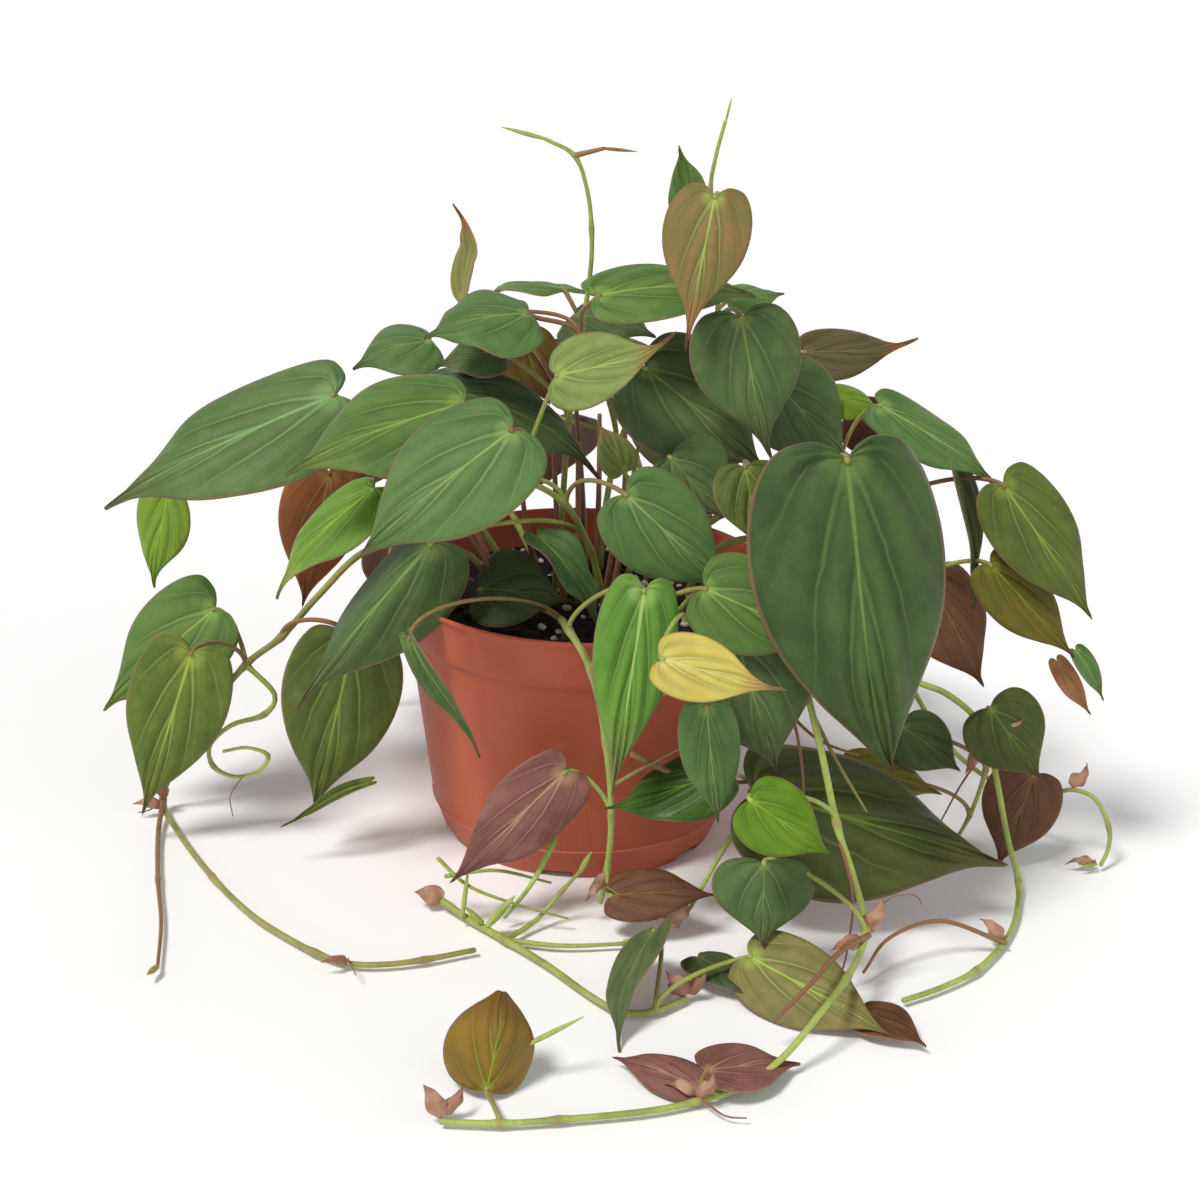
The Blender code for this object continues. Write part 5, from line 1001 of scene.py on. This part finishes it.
def pot_profile(line_rise):
    """The pot's section: up the outside from the middle of its underside, over the lip and down inside."""
    band_low = POT_HEIGHT - RIM_BAND_HEIGHT
    floor = FLOOR_RAISE + POT_WALL
    soft = 0.0004
    under = [(0.0, 0.0), (PAD_RADIUS - soft, 0.0), (PAD_RADIUS, soft), (PAD_RADIUS, FLOOR_RAISE)]
    under += [(radius, FLOOR_RAISE) for radius in (0.020, 0.032, 0.045)]
    under += [(wall_radius(FLOOR_RAISE) - 2 * POT_WALL, FLOOR_RAISE), (FOOT_RADIUS - 2 * POT_WALL, 0.0)]
    foot = [(FOOT_RADIUS - soft, 0.0), (FOOT_RADIUS, soft)]
    foot += [(wall_radius(height), height) for height in (0.004, 0.008, FOOT_LINE_HEIGHT - 0.0008)]
    line = [(wall_radius(FOOT_LINE_HEIGHT - 0.0004) + line_rise, FOOT_LINE_HEIGHT - 0.0004),
            (wall_radius(FOOT_LINE_HEIGHT + 0.0002) + line_rise, FOOT_LINE_HEIGHT + 0.0002),
            (wall_radius(FOOT_LINE_HEIGHT + 0.0006), FOOT_LINE_HEIGHT + 0.0006)]
    body = [(wall_radius(height), height) for height in np.linspace(0.018, band_low - 0.004, 12)]
    body += [(wall_radius(band_low - 0.0026), band_low - 0.0026)]
    step = [(wall_radius(band_low - STEP_DROP) + 0.0001, band_low - STEP_DROP),
            (RIM_BAND_LOW_RADIUS - 0.0006, band_low - 0.0005), (RIM_BAND_LOW_RADIUS, band_low + 0.0004)]
    band = [(wall_radius(height), height) for height in np.linspace(band_low + 0.002, POT_HEIGHT - 0.003, 6)]
    neck = [(wall_radius(POT_HEIGHT - 0.0018) + 0.0001, POT_HEIGHT - 0.0018)]
    lip = arc((RIM_RADIUS - RIM_LIP, POT_HEIGHT - RIM_LIP), RIM_LIP, -50.0, 140.0, 9)
    inside = [(RIM_RADIUS - RIM_LIP - POT_WALL, POT_HEIGHT - 0.0016)]
    inside += [(wall_radius(height) - POT_WALL, height)
               for height in np.linspace(POT_HEIGHT - 0.004, band_low + 2 * STEP_DROP, 5)]
    inside += [(wall_radius(height) - POT_WALL, height)
               for height in np.linspace(band_low - STEP_DROP, floor + 0.001, 9)]
    inside += [(wall_radius(floor) - POT_WALL - 0.001, floor)]
    inside += [(radius, floor) for radius in (0.045, 0.032, 0.020)] + [(0.0, floor)]
    return under + foot + line + body + step + band + neck + lip + inside


def turned_mesh(name, profile):
    """A closed section turned about the Z axis."""
    form = bmesh.new()
    rings = []
    for radius, height in profile:
        if radius < 1e-9:
            rings.append([form.verts.new((0.0, 0.0, height))])
        else:
            rings.append([form.verts.new((radius * math.cos(math.tau * step / TURN_STEPS),
                                          radius * math.sin(math.tau * step / TURN_STEPS), height))
                          for step in range(TURN_STEPS)])
    for lower, upper in zip(rings, rings[1:]):
        for step in range(TURN_STEPS):
            following = (step + 1) % TURN_STEPS
            corners = [lower[step % len(lower)], lower[following % len(lower)],
                       upper[following % len(upper)], upper[step % len(upper)]]
            form.faces.new(list(dict.fromkeys(corners)))
    bmesh.ops.recalc_face_normals(form, faces=form.faces)
    mesh = bpy.data.meshes.new(name)
    form.to_mesh(mesh)
    form.free()
    return mesh


def joined_cutters(name, solids):
    """One mesh of plain cutters, each a (matrix, sides) pair; no sides means a box."""
    form = bmesh.new()
    for matrix, sides in solids:
        if sides:
            bmesh.ops.create_cone(form, cap_ends=True, segments=sides, radius1=1.0, radius2=1.0,
                                  depth=1.0, matrix=matrix)
        else:
            bmesh.ops.create_cube(form, size=1.0, matrix=matrix)
    mesh = bpy.data.meshes.new(name)
    form.to_mesh(mesh)
    form.free()
    cutter = bpy.data.objects.new(name, mesh)
    bpy.context.scene.collection.objects.link(cutter)
    return cutter


def cut(obj, cutter):
    """Cut one object by another, keep the result and drop the cutter."""
    modifier = obj.modifiers.new("Cut", "BOOLEAN")
    modifier.operation = "DIFFERENCE"
    modifier.object = cutter
    bpy.context.view_layer.update()
    evaluated = obj.evaluated_get(bpy.context.evaluated_depsgraph_get())
    mesh = bpy.data.meshes.new_from_object(evaluated)
    obj.modifiers.clear()
    obj.data = mesh
    bpy.data.objects.remove(cutter)


def build_pot():
    """The pot's shell with its rim band, lip, line, foot notches and drain holes."""
    look = settings("pot")
    mesh = turned_mesh("pot_shell", pot_profile(look.line_rise))
    pot = bpy.data.objects.new("pot_shell", mesh)
    bpy.context.scene.collection.objects.link(pot)
    notches = []
    for index in range(NOTCH_COUNT):
        turn = Matrix.Rotation(math.radians(FIRST_NOTCH_TURN) + index * math.tau / NOTCH_COUNT, 4, "Z")
        size = Matrix.Diagonal((NOTCH_REACH, NOTCH_WIDTH, 2 * NOTCH_HEIGHT, 1.0))
        notches.append((turn @ Matrix.Translation((FOOT_RADIUS, 0.0, 0.0)) @ size, 0))
    for index in range(DRAIN_HOLE_COUNT):
        turn = (index + 0.5) * math.tau / DRAIN_HOLE_COUNT
        place = Matrix.Translation((DRAIN_CIRCLE_RADIUS * math.cos(turn),
                                    DRAIN_CIRCLE_RADIUS * math.sin(turn), FLOOR_RAISE))
        size = Matrix.Diagonal((DRAIN_HOLE_RADIUS, DRAIN_HOLE_RADIUS, 4 * POT_WALL, 1.0))
        notches.append((place @ size, DRAIN_HOLE_SIDES))
    cut(pot, joined_cutters("pot_cutters", notches))
    mesh = pot.data
    # Marks the raised foot line, which the finish paints with a lighter highlight.
    foot_line_highlight = []
    for vert in mesh.vertices:
        beside = abs(vert.co.z - FOOT_LINE_HEIGHT) < FOOT_LINE_REACH
        foot_line_highlight.append(1.0 if beside and vert.co.xy.length > wall_radius(vert.co.z) else 0.0)
    mesh.attributes.new("line", "FLOAT", "POINT").data.foreach_set("value", foot_line_highlight)
    mesh.materials.append(pot_finish())
    mesh.shade_smooth()
    mesh.set_sharp_from_angle(angle=math.radians(40.0))
    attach(pot, ONLY_BODY)
    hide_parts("pot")


# ---- the potting mix --------------------------------------------------------------------------
def mix_height(x, y):
    """The height of the mix at a place: a low crown with lumps."""
    unevenness = settings("mix").roughness
    edge = wall_radius(MIX_TOP) - POT_WALL
    share = min(1.0, math.hypot(x, y) / edge)
    lumps = (math.sin(190.0 * x + 2.0 * math.sin(150.0 * y)) * math.sin(170.0 * y + 1.0)
             + 0.6 * math.sin(410.0 * x + 1.3) * math.sin(380.0 * y + 2.0 * math.sin(260.0 * x))
             + 0.35 * math.sin(930.0 * x + 0.5) * math.sin(870.0 * y + 0.8))
    calm = 1.0 - share ** 8
    crown = MIX_TOP + (MIX_PEAK - MIX_TOP) * (1.0 - share ** 2)
    return crown - unevenness * 0.5 + 0.5 * unevenness * lumps * calm


def build_mix():
    """The body of the mix with a lumpy top, its perlite grains and its bark."""
    look = settings("mix")
    floor = FLOOR_RAISE + POT_WALL + MIX_GAP
    edge = wall_radius(MIX_TOP) - POT_WALL - MIX_GAP
    rings = [(0.0, None)] + [(edge * index / MIX_RINGS, None) for index in range(1, MIX_RINGS + 1)]
    band_low = POT_HEIGHT - RIM_BAND_HEIGHT
    rings += [(wall_radius(height) - POT_WALL - MIX_GAP, height)
              for height in (band_low + 2 * STEP_DROP, band_low - STEP_DROP, 0.06, 0.03, floor)]
    rings += [(0.0, floor)]
    points, faces, starts = [], [], []
    for radius, height in rings:
        starts.append(len(points))
        for step in range(MIX_STEPS if radius > 0.0 else 1):
            turn = math.tau * step / MIX_STEPS
            x, y = radius * math.cos(turn), radius * math.sin(turn)
            points.append((x, y, mix_height(x, y) if height is None else height))
    for index in range(len(rings) - 1):
        wide, following_wide = rings[index][0] > 0.0, rings[index + 1][0] > 0.0
        for step in range(MIX_STEPS):
            after = (step + 1) % MIX_STEPS
            a, b = starts[index] + step * wide, starts[index] + after * wide
            c, d = starts[index + 1] + after * following_wide, starts[index + 1] + step * following_wide
            faces.append(tuple(dict.fromkeys((a, d, c, b))))
    mesh = bpy.data.meshes.new("mix_body")
    mesh.from_pydata(points, [], faces)
    mesh.materials.append(mix_finish())
    mesh.shade_smooth()
    add_piece("mix_body", mesh, "potting_mix")
    white = grain_finish("perlite_grain", (0.520, 0.470, 0.400), (0.820, 0.800, 0.760), 0.85)
    brown = grain_finish("bark_chip", (0.030, 0.016, 0.010), (0.095, 0.050, 0.028), 0.85)
    scatter_grains("perlite", look.perlite, PERLITE_SIZES, PERLITE_FORM, white, 3)
    scatter_grains("bark", look.bark, BARK_SIZES, BARK_FORM, brown, 4)


def scatter_grains(name, count, sizes, form_scale, material, seed):
    """Irregular grains lying on the mix, in one mesh."""
    draw = random.Random(seed)
    edge = wall_radius(MIX_TOP) - POT_WALL - GRAIN_MARGIN
    form = bmesh.new()
    for _ in range(count):
        radius, turn = edge * math.sqrt(draw.random()), math.tau * draw.random()
        x, y = radius * math.cos(turn), radius * math.sin(turn)
        size = draw.uniform(*sizes)
        spin = Matrix.Rotation(math.tau * draw.random(), 4, "Z")
        spin = spin @ Matrix.Rotation(draw.uniform(-0.5, 0.5), 4, "X")
        stretch = Matrix.Diagonal((*(size * part for part in form_scale), 1.0))
        place = Matrix.Translation((x, y, mix_height(x, y) + 0.2 * size * form_scale[2]))
        lump = bmesh.ops.create_icosphere(form, subdivisions=2, radius=1.0, matrix=place @ spin @ stretch)
        for vert in lump["verts"]:
            push = Vector((draw.uniform(-1, 1), draw.uniform(-1, 1), draw.uniform(-1, 1)))
            vert.co += push * GRAIN_CRUMPLE * size
    mesh = bpy.data.meshes.new(name)
    form.to_mesh(mesh)
    form.free()
    mesh.materials.append(material)
    mesh.shade_smooth()
    add_piece(name, mesh)


# ---- the blades -------------------------------------------------------------------------------
def blade_frame(notch, tip, face):
    """Length, and the directions along the midrib, across it and out of the upper face."""
    face = Vector(face)
    along = (tip - notch).normalized()
    out = (face - face.dot(along) * along).normalized()
    return (tip - notch).length, along, out.cross(along), out


def half_outline(outline, drip, rows):
    """The half outline at evenly spread places from the notch to the tip, drawn out by its drip."""
    if outline is HEART:
        outline = np.array(HEART) * (1.0 - drip) + np.array(DRIP) * drip
    points = spline([(x, y, 0.0) for x, y in outline], 0.01)
    steps = np.linspace(0, len(points) - 1, rows + 1)
    return np.array([points[round(step)].xy for step in steps])


def blade_mesh(name, notch, tip, width, face, arch, fall, habit, outline, rows, seed):
    """A blade of one layer: ribs fan out of the notch; it arches, falls, ripples, curls and bulges
    between its veins.  Two UV maps tell the finish where on the blade it is."""
    notch, tip = to_metres(notch), to_metres(tip)
    length, along, across, out = blade_frame(notch, tip, face)
    half = 0.5 * width * CM
    ribs = max(5, rows // 5)
    draw = random.Random(seed)
    edge = half_outline(outline, habit["drip"], rows)
    row = np.linspace(0.0, 1.0, rows + 1)[:, None]
    rib = np.linspace(-1.0, 1.0, 2 * ribs + 1)[None, :]
    share = np.abs(rib)
    root = np.maximum(0.0, (row - FAN_SHARE) / (1.0 - FAN_SHARE)) ** FAN_POWER
    uneven = 1.0 + 0.05 * draw.uniform(-1, 1) * np.sign(rib)
    x = root + (edge[:, :1] - root) * share
    y = np.sign(rib) * edge[:, 1:] * share * half * uneven
    label = VEIN_COUNT * (row + VEIN_BEND * (1.0 - share) ** VEIN_POWER)
    bulge = np.sin(math.pi * label) ** 2 * np.sqrt(share) * (1.0 - share ** 3)
    bulge *= np.minimum(1.0, 6.0 * np.hypot(x * length, y) / length)
    phase, beats = draw.uniform(0.0, math.tau), draw.uniform(2.2, 3.4)
    ripple = np.sin(math.tau * beats * row + phase + (rib > 0) * draw.uniform(0.6, 2.4)) * share ** 3
    ripple *= np.sin(math.pi * np.clip(row, 0.0, 1.0)) ** 0.5
    end = np.clip((x - 0.55) / 0.45, 0.0, 1.0)
    soft = 0.25 * half
    fold = (np.sqrt(y * y + soft * soft) - soft) * math.tan(math.radians(fall + habit["fold"]))
    groove = 0.010 * length * np.exp(-(np.abs(y) / (0.035 * length)) ** 2) * np.clip(1.1 - x, 0.0, 1.0)
    roll = 0.05 * half * share ** 4
    lift = 4.0 * arch * length * x * (1.0 - x) - fold - groove - roll
    lift += habit["quilt"] * length * bulge + habit["wave"] * length * ripple
    lift -= habit["curl"] * length * end ** 2
    twist = math.radians(habit["twist"]) * end
    lift += y * np.sin(twist)
    y = y * np.cos(twist) + habit["sweep"] * length * end ** 2
    place = (np.array(notch) + (x * length)[..., None] * np.array(along)
             + y[..., None] * np.array(across) + lift[..., None] * np.array(out))
    place[..., 2] = np.maximum(place[..., 2], FLOOR_GAP)
    columns = 2 * ribs + 1
    corner = np.arange((rows + 1) * columns).reshape(rows + 1, columns)
    quads = np.stack([corner[:-1, :-1], corner[1:, :-1], corner[1:, 1:], corner[:-1, 1:]], axis=-1)
    mesh = bpy.data.meshes.new(name)
    mesh.from_pydata(place.reshape(-1, 3).tolist(), [], quads.reshape(-1, 4).tolist())
    order = quads.reshape(-1)
    flat_y = np.sign(rib) * edge[:, 1:] * share * half / length
    maps = {"fan": (np.broadcast_to(row, x.shape), np.broadcast_to(0.5 + 0.5 * rib, x.shape)),
            "place": (x, 0.5 + flat_y)}
    for label_name, (u, v) in maps.items():
        layer = mesh.uv_layers.new(name=label_name)
        layer.data.foreach_set("uv", np.stack([u.ravel()[order], v.ravel()[order]], axis=-1).ravel())
    form = bmesh.new()
    form.from_mesh(mesh)
    bmesh.ops.remove_doubles(form, verts=form.verts, dist=2e-6)
    form.to_mesh(mesh)
    form.free()
    mesh.shade_smooth()
    return mesh


def add_blade(name, spot, habit, seed, materials, stands_for=None, outline=HEART, rows=None):
    """A blade piece with its thickness; the margin has a finish of its own."""
    notch, tip, width, face, arch, fall = spot
    detail = settings("leaves").detail
    rows = rows or (detail if width >= 3.0 else int(0.72 * detail))
    mesh = blade_mesh(name, notch, tip, width, face, arch, fall, habit, outline, rows, seed)
    for material in materials:
        mesh.materials.append(material)
    piece = add_piece(name, mesh, stands_for)
    solid = piece.modifiers.new("Thickness", "SOLIDIFY")
    solid.thickness = settings("leaves").thickness
    solid.offset = -1.0
    solid.material_offset = 1
    solid.material_offset_rim = 2
    return piece


def build_blades():
    """Every blade, each with the finish of its look on the face and another on the back."""
    skins = {}
    for look, colours in LOOKS.items():
        skins[look] = blade_finish("blade_" + look, colours, look.endswith("_back"))
    green_back = blade_finish("underside_green", GREEN_BACK, True)
    brown_back = blade_finish("underside_brown", BROWN_BACK, True)
    edge = edge_finish()
    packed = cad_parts
    for seed, (name, leaf) in enumerate(LEAVES.items()):
        _, notch, tip, width, face, arch, fall, look = leaf
        back = green_back if look in GREEN_BACKED else brown_back
        if look.endswith("_back"):
            back = skins["deep"]
        habit = {**PLAIN_HABIT, **HABITS.get(name, {})}
        stands_for = name if name in packed else None
        add_blade("blade_" + name[5:], (notch, tip, width, face, arch, fall), habit, seed,
                  (skins[look], back, edge), stands_for)
    for seed, (name, leaf) in enumerate(SMALL_LEAVES.items()):
        notch, tip, width, face, arch, fall, look = leaf
        habit = {**PLAIN_HABIT, **HABITS.get(name, {})}
        add_blade(name, (notch, tip, width, face, arch, fall), habit, 200 + seed,
                  (skins[look], brown_back, edge), rows=36)


# ---- vines and stalks -------------------------------------------------------------------------
def vine_route(name):
    """The vine's own points in metres, from the rooted end."""
    root, points = VINES[name]
    route = [to_metres(point) for point in points]
    if root is None:
        return route
    x, y = (value * CM for value in root)
    return [Vector((x, y, MIX_PEAK - ROOTED_DEPTH)), Vector((x, y, MIX_PEAK + ROOTED_RISE))] + route


def stalk_start(notch, joints):
    """The nearest lower joint of the vine."""
    def cost(joint):
        """Prefer the nearest joint, unless it is beside the blade or above it."""
        rise, reach = notch.z - joint.z, (notch - joint).length
        return reach + 3.0 * max(0.0, STALK_LEAST_RISE - rise) + 2.0 * max(0.0, STALK_LEAST_REACH - reach)

    return min(joints, key=cost)


def stalk_path(name, joints, steps):
    """A stalk from its joint up and over to the notch of its blade."""
    _, notch, tip, _, face, _, _, _ = LEAVES[name]
    notch, tip = to_metres(notch), to_metres(tip)
    _, along, _, out = blade_frame(notch, tip, face)
    start = to_metres(STALK_STARTS[name]) if name in STALK_STARTS else stalk_start(notch, joints)
    end = notch - out * 0.0004
    reach = (end - start).length
    rise = start + Vector((0.0, 0.0, STALK_RISE * reach)) + STALK_LEAN * (end - start)
    under, behind = STALK_MEET
    meet = end - out * under * reach - along * behind * reach
    path = []
    for index in range(steps + 1):
        t = index / steps
        path.append((1 - t) ** 3 * start + 3 * t * (1 - t) ** 2 * rise
                    + 3 * t * t * (1 - t) * meet + t ** 3 * end)
    return path


def knotted(path, knots, radius, tip_share):
    """Radii that taper along a path and swell at its knots, and the scars there."""
    radii, scars = [], []
    for index, point in enumerate(path):
        near = min((point - knot).length for knot in knots) if knots else 1.0
        swell = math.exp(-(near / KNOT_REACH) ** 2)
        taper = 1.0 + (tip_share - 1.0) * index / (len(path) - 1)
        radii.append(radius * taper * (1.0 + KNOT_SWELL * swell))
        scars.append(math.exp(-(near / SCAR_REACH) ** 2))
    return radii, scars


def build_stems():
    """Each vine with its side shoots in one piece, and its leaf stalks in another."""
    look = settings("stems")
    skin = stem_finish()
    for seed, name in enumerate(VINES):
        draw = random.Random(300 + seed)
        route = vine_route(name)
        rooted = 0 if VINES[name][0] is None else 1
        own_joints = route[rooted:-1]
        joints = list(own_joints)
        shoots, redness = [], []
        for shoot, (owner, points) in SHOOTS.items():
            if owner == name:
                points = [to_metres(point) for point in points]
                shoots.append(points)
                redness.append(SHOOT_BLUSH.get(shoot, 0.2))
                joints += points[1:-1]
        leaves = {key: leaf for key, leaf in LEAVES.items() if leaf[0] == name}
        starts = [stalk_start(to_metres(leaf[1]), joints) for leaf in leaves.values()]
        knots = starts + [points[0] for points in shoots] + own_joints[2::3]
        stem = Bundle()
        path = route[:rooted] + spline(route[rooted:], STEM_STEP)
        radii, scars = knotted(path, knots, look.vine_radius, TIP_SHARES.get(name, 0.75))
        blush = VINE_BLUSH.get(name, 0.15 + 0.25 * draw.random())
        stem.add_tube(path, radii, blush, scars, sides=14)
        for points, blush in zip(shoots, redness):
            path = spline(points, STEM_STEP)
            radii, scars = knotted(path, points[2::3] + starts, 0.8 * look.vine_radius, 0.6)
            stem.add_tube(path, radii, blush, scars, sides=12)
        add_piece("stem_" + name[5:], stem.mesh("stem_" + name[5:], skin), name)
        stalks = Bundle()
        for key, leaf in leaves.items():
            path = stalk_path(key, joints, 26)
            thick = look.stalk_radius * (STALK_THICKNESS[0] + STALK_THICKNESS[1] * leaf[3])
            radii = []
            for index in range(len(path)):
                t = index / (len(path) - 1)
                collar = FOOT_COLLAR[0] * math.exp(-t / FOOT_COLLAR[1])
                collar += HEAD_COLLAR[0] * math.exp(-(1.0 - t) / HEAD_COLLAR[1])
                radii.append(thick * (1.0 + collar))
            blush = STALK_BLUSH.get(key, 0.25 + 0.5 * draw.random())
            stalks.add_tube(path, radii, blush, sides=10)
        if leaves:
            add_piece("stalks_" + name[5:], stalks.mesh("stalks_" + name[5:], skin))


def build_growth():
    """Bracts, buds, aerial roots and old stalks."""
    paper, skin = bract_finish(), stem_finish()
    for index, (foot, tip, width, face) in enumerate(BRACTS):
        spot = (foot, tip, width, face, BRACT_ARCH, BRACT_FALL)
        add_blade(f"bract_{index + 1}", spot, BRACT_HABIT, 400 + index, (paper, paper, paper),
                  outline=LANCE, rows=18)
    buds = Bundle()
    for foot, tip, thickest, blush in BUDS:
        foot, tip = to_metres(foot), to_metres(tip)
        shares = [step / BUD_STEPS for step in range(BUD_STEPS + 1)]
        path = [foot.lerp(tip, share) for share in shares]
        radii = [MM * thickest * (0.35 + 0.65 * math.sin(math.pi * (0.12 + 0.80 * share)) ** 0.8)
                 * (1.0 - 0.72 * share ** 3) for share in shares]
        buds.add_tube(path, radii, blush, sides=10)
    add_piece("buds", buds.mesh("buds", skin))
    roots = Bundle()
    for points, thickest, blush in ROOTS:
        path = spline([to_metres(point) for point in points], STEM_STEP)
        radii = [MM * thickest * (1.0 - 0.45 * step / (len(path) - 1)) for step in range(len(path))]
        roots.add_tube(path, radii, blush, sides=8)
    add_piece("aerial_roots", roots.mesh("aerial_roots", skin))
    old = Bundle()
    for foot, head in OLD_STALKS:
        foot, head = to_metres(foot), to_metres(head)
        middle = foot.lerp(head, 0.5) + Vector((0.0, 0.0, OLD_STALK_BOW))
        middle += 0.15 * Vector((foot.x, foot.y, 0.0))
        path = spline([foot, middle, head], 0.004)
        radii = [OLD_STALK_RADIUS * (1.25 - 0.45 * step / (len(path) - 1)) for step in range(len(path))]
        old.add_tube(path, radii, 0.95, sides=8)
    add_piece("old_stalks", old.mesh("old_stalks", skin))


# ---- the stage --------------------------------------------------------------------------------
CAMERA_LENS = 65.8
CAMERA_PLACE = (0.00634, -0.8236, 0.4186)
CAMERA_PITCH = 0.373
CAMERA_ROLL = 0.030
SENSOR_WIDTH = 36.0
FLOOR_SIZE = 4.0
SUN_STRENGTH = 2.45
SUN_SPREAD = 16.0
SUN_COLOUR = (1.0, 0.985, 0.965)
SUN_WAY = (0.46, 0.42, -1.0)
FILL_PLACE = (1.1, -1.0, 0.9)
FILL_SIZE = 1.6
FILL_POWER = 3.5
FILL_COLOUR = (0.97, 0.98, 1.0)
PLANT_MIDDLE = (0.0, 0.0, 0.12)
# The surroundings go from pale to dim between these two heights of the view's direction.
SKY_HEIGHTS = (0.36, 0.60)
SKY_SHADES = (0.98, 0.22)


def build_stage():
    """A plain pale floor, soft lights and the camera."""
    look = settings("stage")
    form = bmesh.new()
    bmesh.ops.create_grid(form, x_segments=2, y_segments=2, size=FLOOR_SIZE)
    mesh = bpy.data.meshes.new("floor")
    form.to_mesh(mesh)
    form.free()
    skin = Finish("floor_paint", roughness=0.85, specular=0.15)
    mesh.materials.append(skin.finish(skin.blend(skin.noise(3.0), tuple(look.floor),
                                                 tuple(0.985 * value for value in look.floor))))
    floor = bpy.data.objects.new("floor", mesh)
    bpy.context.scene.collection.objects.link(floor)
    sun = bpy.data.lights.new("key_light", "SUN")
    sun.energy = SUN_STRENGTH * look.light
    sun.angle = math.radians(SUN_SPREAD)
    sun.color = SUN_COLOUR
    key = bpy.data.objects.new("key_light", sun)
    key.rotation_euler = Vector(SUN_WAY).to_track_quat("-Z", "Y").to_euler()
    bpy.context.scene.collection.objects.link(key)
    add_light("fill_light", FILL_PLACE, FILL_SIZE, FILL_POWER * look.light, FILL_COLOUR)
    world = bpy.data.worlds.new("studio")
    world.use_nodes = True
    nodes, links = world.node_tree.nodes, world.node_tree.links
    place = nodes.new("ShaderNodeTexCoord")
    split = nodes.new("ShaderNodeSeparateXYZ")
    shade = nodes.new("ShaderNodeMapRange")
    shade.inputs["From Min"].default_value, shade.inputs["From Max"].default_value = SKY_HEIGHTS
    shade.inputs["To Min"].default_value, shade.inputs["To Max"].default_value = SKY_SHADES
    links.new(place.outputs["Generated"], split.inputs["Vector"])
    links.new(split.outputs["Z"], shade.inputs["Value"])
    links.new(shade.outputs["Result"], nodes["Background"].inputs["Color"])
    bpy.context.scene.world = world
    bpy.context.scene.view_settings.view_transform = "Standard"
    lens = bpy.data.cameras.new("camera")
    lens.lens = CAMERA_LENS
    lens.sensor_width = SENSOR_WIDTH
    camera = bpy.data.objects.new("camera", lens)
    bpy.context.scene.collection.objects.link(camera)
    turn = Matrix.Rotation(0.5 * math.pi - CAMERA_PITCH, 3, "X") @ Matrix.Rotation(CAMERA_ROLL, 3, "Z")
    camera.matrix_world = Matrix.Translation(CAMERA_PLACE) @ turn.to_4x4()
    bpy.context.scene.camera = camera


def add_light(name, place, size, power, colour):
    """A square area light that faces the plant."""
    lamp = bpy.data.lights.new(name, "AREA")
    lamp.size = size
    lamp.energy = power
    lamp.color = colour
    light = bpy.data.objects.new(name, lamp)
    bpy.context.scene.collection.objects.link(light)
    light.location = place
    light.rotation_euler = (Vector(PLANT_MIDDLE) - Vector(place)).to_track_quat("-Z", "Y").to_euler()


# ---- operators, panel and main ----------------------------------------------------------------
class PLANT_OT_pot(bpy.types.Operator):
    """Make the pot"""
    bl_idname = "philodendron.pot"
    bl_label = "Pot"

    def execute(self, context):
        build_pot()
        return {"FINISHED"}


class PLANT_OT_mix(bpy.types.Operator):
    """Make the potting mix with its perlite and bark"""
    bl_idname = "philodendron.mix"
    bl_label = "Potting mix"

    def execute(self, context):
        build_mix()
        return {"FINISHED"}


class PLANT_OT_stems(bpy.types.Operator):
    """Make the vines and the leaf stalks"""
    bl_idname = "philodendron.stems"
    bl_label = "Vines and stalks"

    def execute(self, context):
        build_stems()
        return {"FINISHED"}


class PLANT_OT_blades(bpy.types.Operator):
    """Make the leaf blades"""
    bl_idname = "philodendron.blades"
    bl_label = "Leaf blades"

    def execute(self, context):
        build_blades()
        return {"FINISHED"}


class PLANT_OT_growth(bpy.types.Operator):
    """Make the bracts, buds, aerial roots and old stalks"""
    bl_idname = "philodendron.growth"
    bl_label = "Small growth"

    def execute(self, context):
        build_growth()
        return {"FINISHED"}


class PLANT_OT_stage(bpy.types.Operator):
    """Make the floor, the lights and the camera"""
    bl_idname = "philodendron.stage"
    bl_label = "Stage"

    def execute(self, context):
        build_stage()
        return {"FINISHED"}


OPERATORS = (PLANT_OT_pot, PLANT_OT_mix, PLANT_OT_stems, PLANT_OT_blades, PLANT_OT_growth, PLANT_OT_stage)
GROUPS = {"pot": PhilodendronPot, "mix": PhilodendronMix, "stems": PhilodendronStems,
          "leaves": PhilodendronLeaves, "stage": PhilodendronStage}


class PLANT_PT_panel(bpy.types.Panel):
    """Lists the plant's operators and settings."""
    bl_label = "Potted philodendron"
    bl_space_type = "VIEW_3D"
    bl_region_type = "UI"
    bl_category = "Philodendron"

    def draw(self, context):
        for operator in OPERATORS:
            self.layout.operator(operator.bl_idname)
        for name in GROUPS:
            group = getattr(context.scene, "philodendron_" + name)
            for key in group.bl_rna.properties.keys():
                if key not in ("rna_type", "name"):
                    self.layout.prop(group, key)


def register():
    """Register the settings, operators and panel."""
    for name, group in GROUPS.items():
        bpy.utils.register_class(group)
        setattr(bpy.types.Scene, "philodendron_" + name, PointerProperty(type=group))
    for cls in (*OPERATORS, PLANT_PT_panel):
        bpy.utils.register_class(cls)


def unregister():
    """Undo register."""
    for cls in reversed((*OPERATORS, PLANT_PT_panel)):
        bpy.utils.unregister_class(cls)
    for name, group in reversed(GROUPS.items()):
        delattr(bpy.types.Scene, "philodendron_" + name)
        bpy.utils.unregister_class(group)


def main():
    """Make everything."""
    register()
    bpy.ops.philodendron.stage()
    bpy.ops.philodendron.pot()
    bpy.ops.philodendron.mix()
    bpy.ops.philodendron.stems()
    bpy.ops.philodendron.blades()
    bpy.ops.philodendron.growth()
    bpy.context.view_layer.update()


if __name__ == "__main__":
    main()
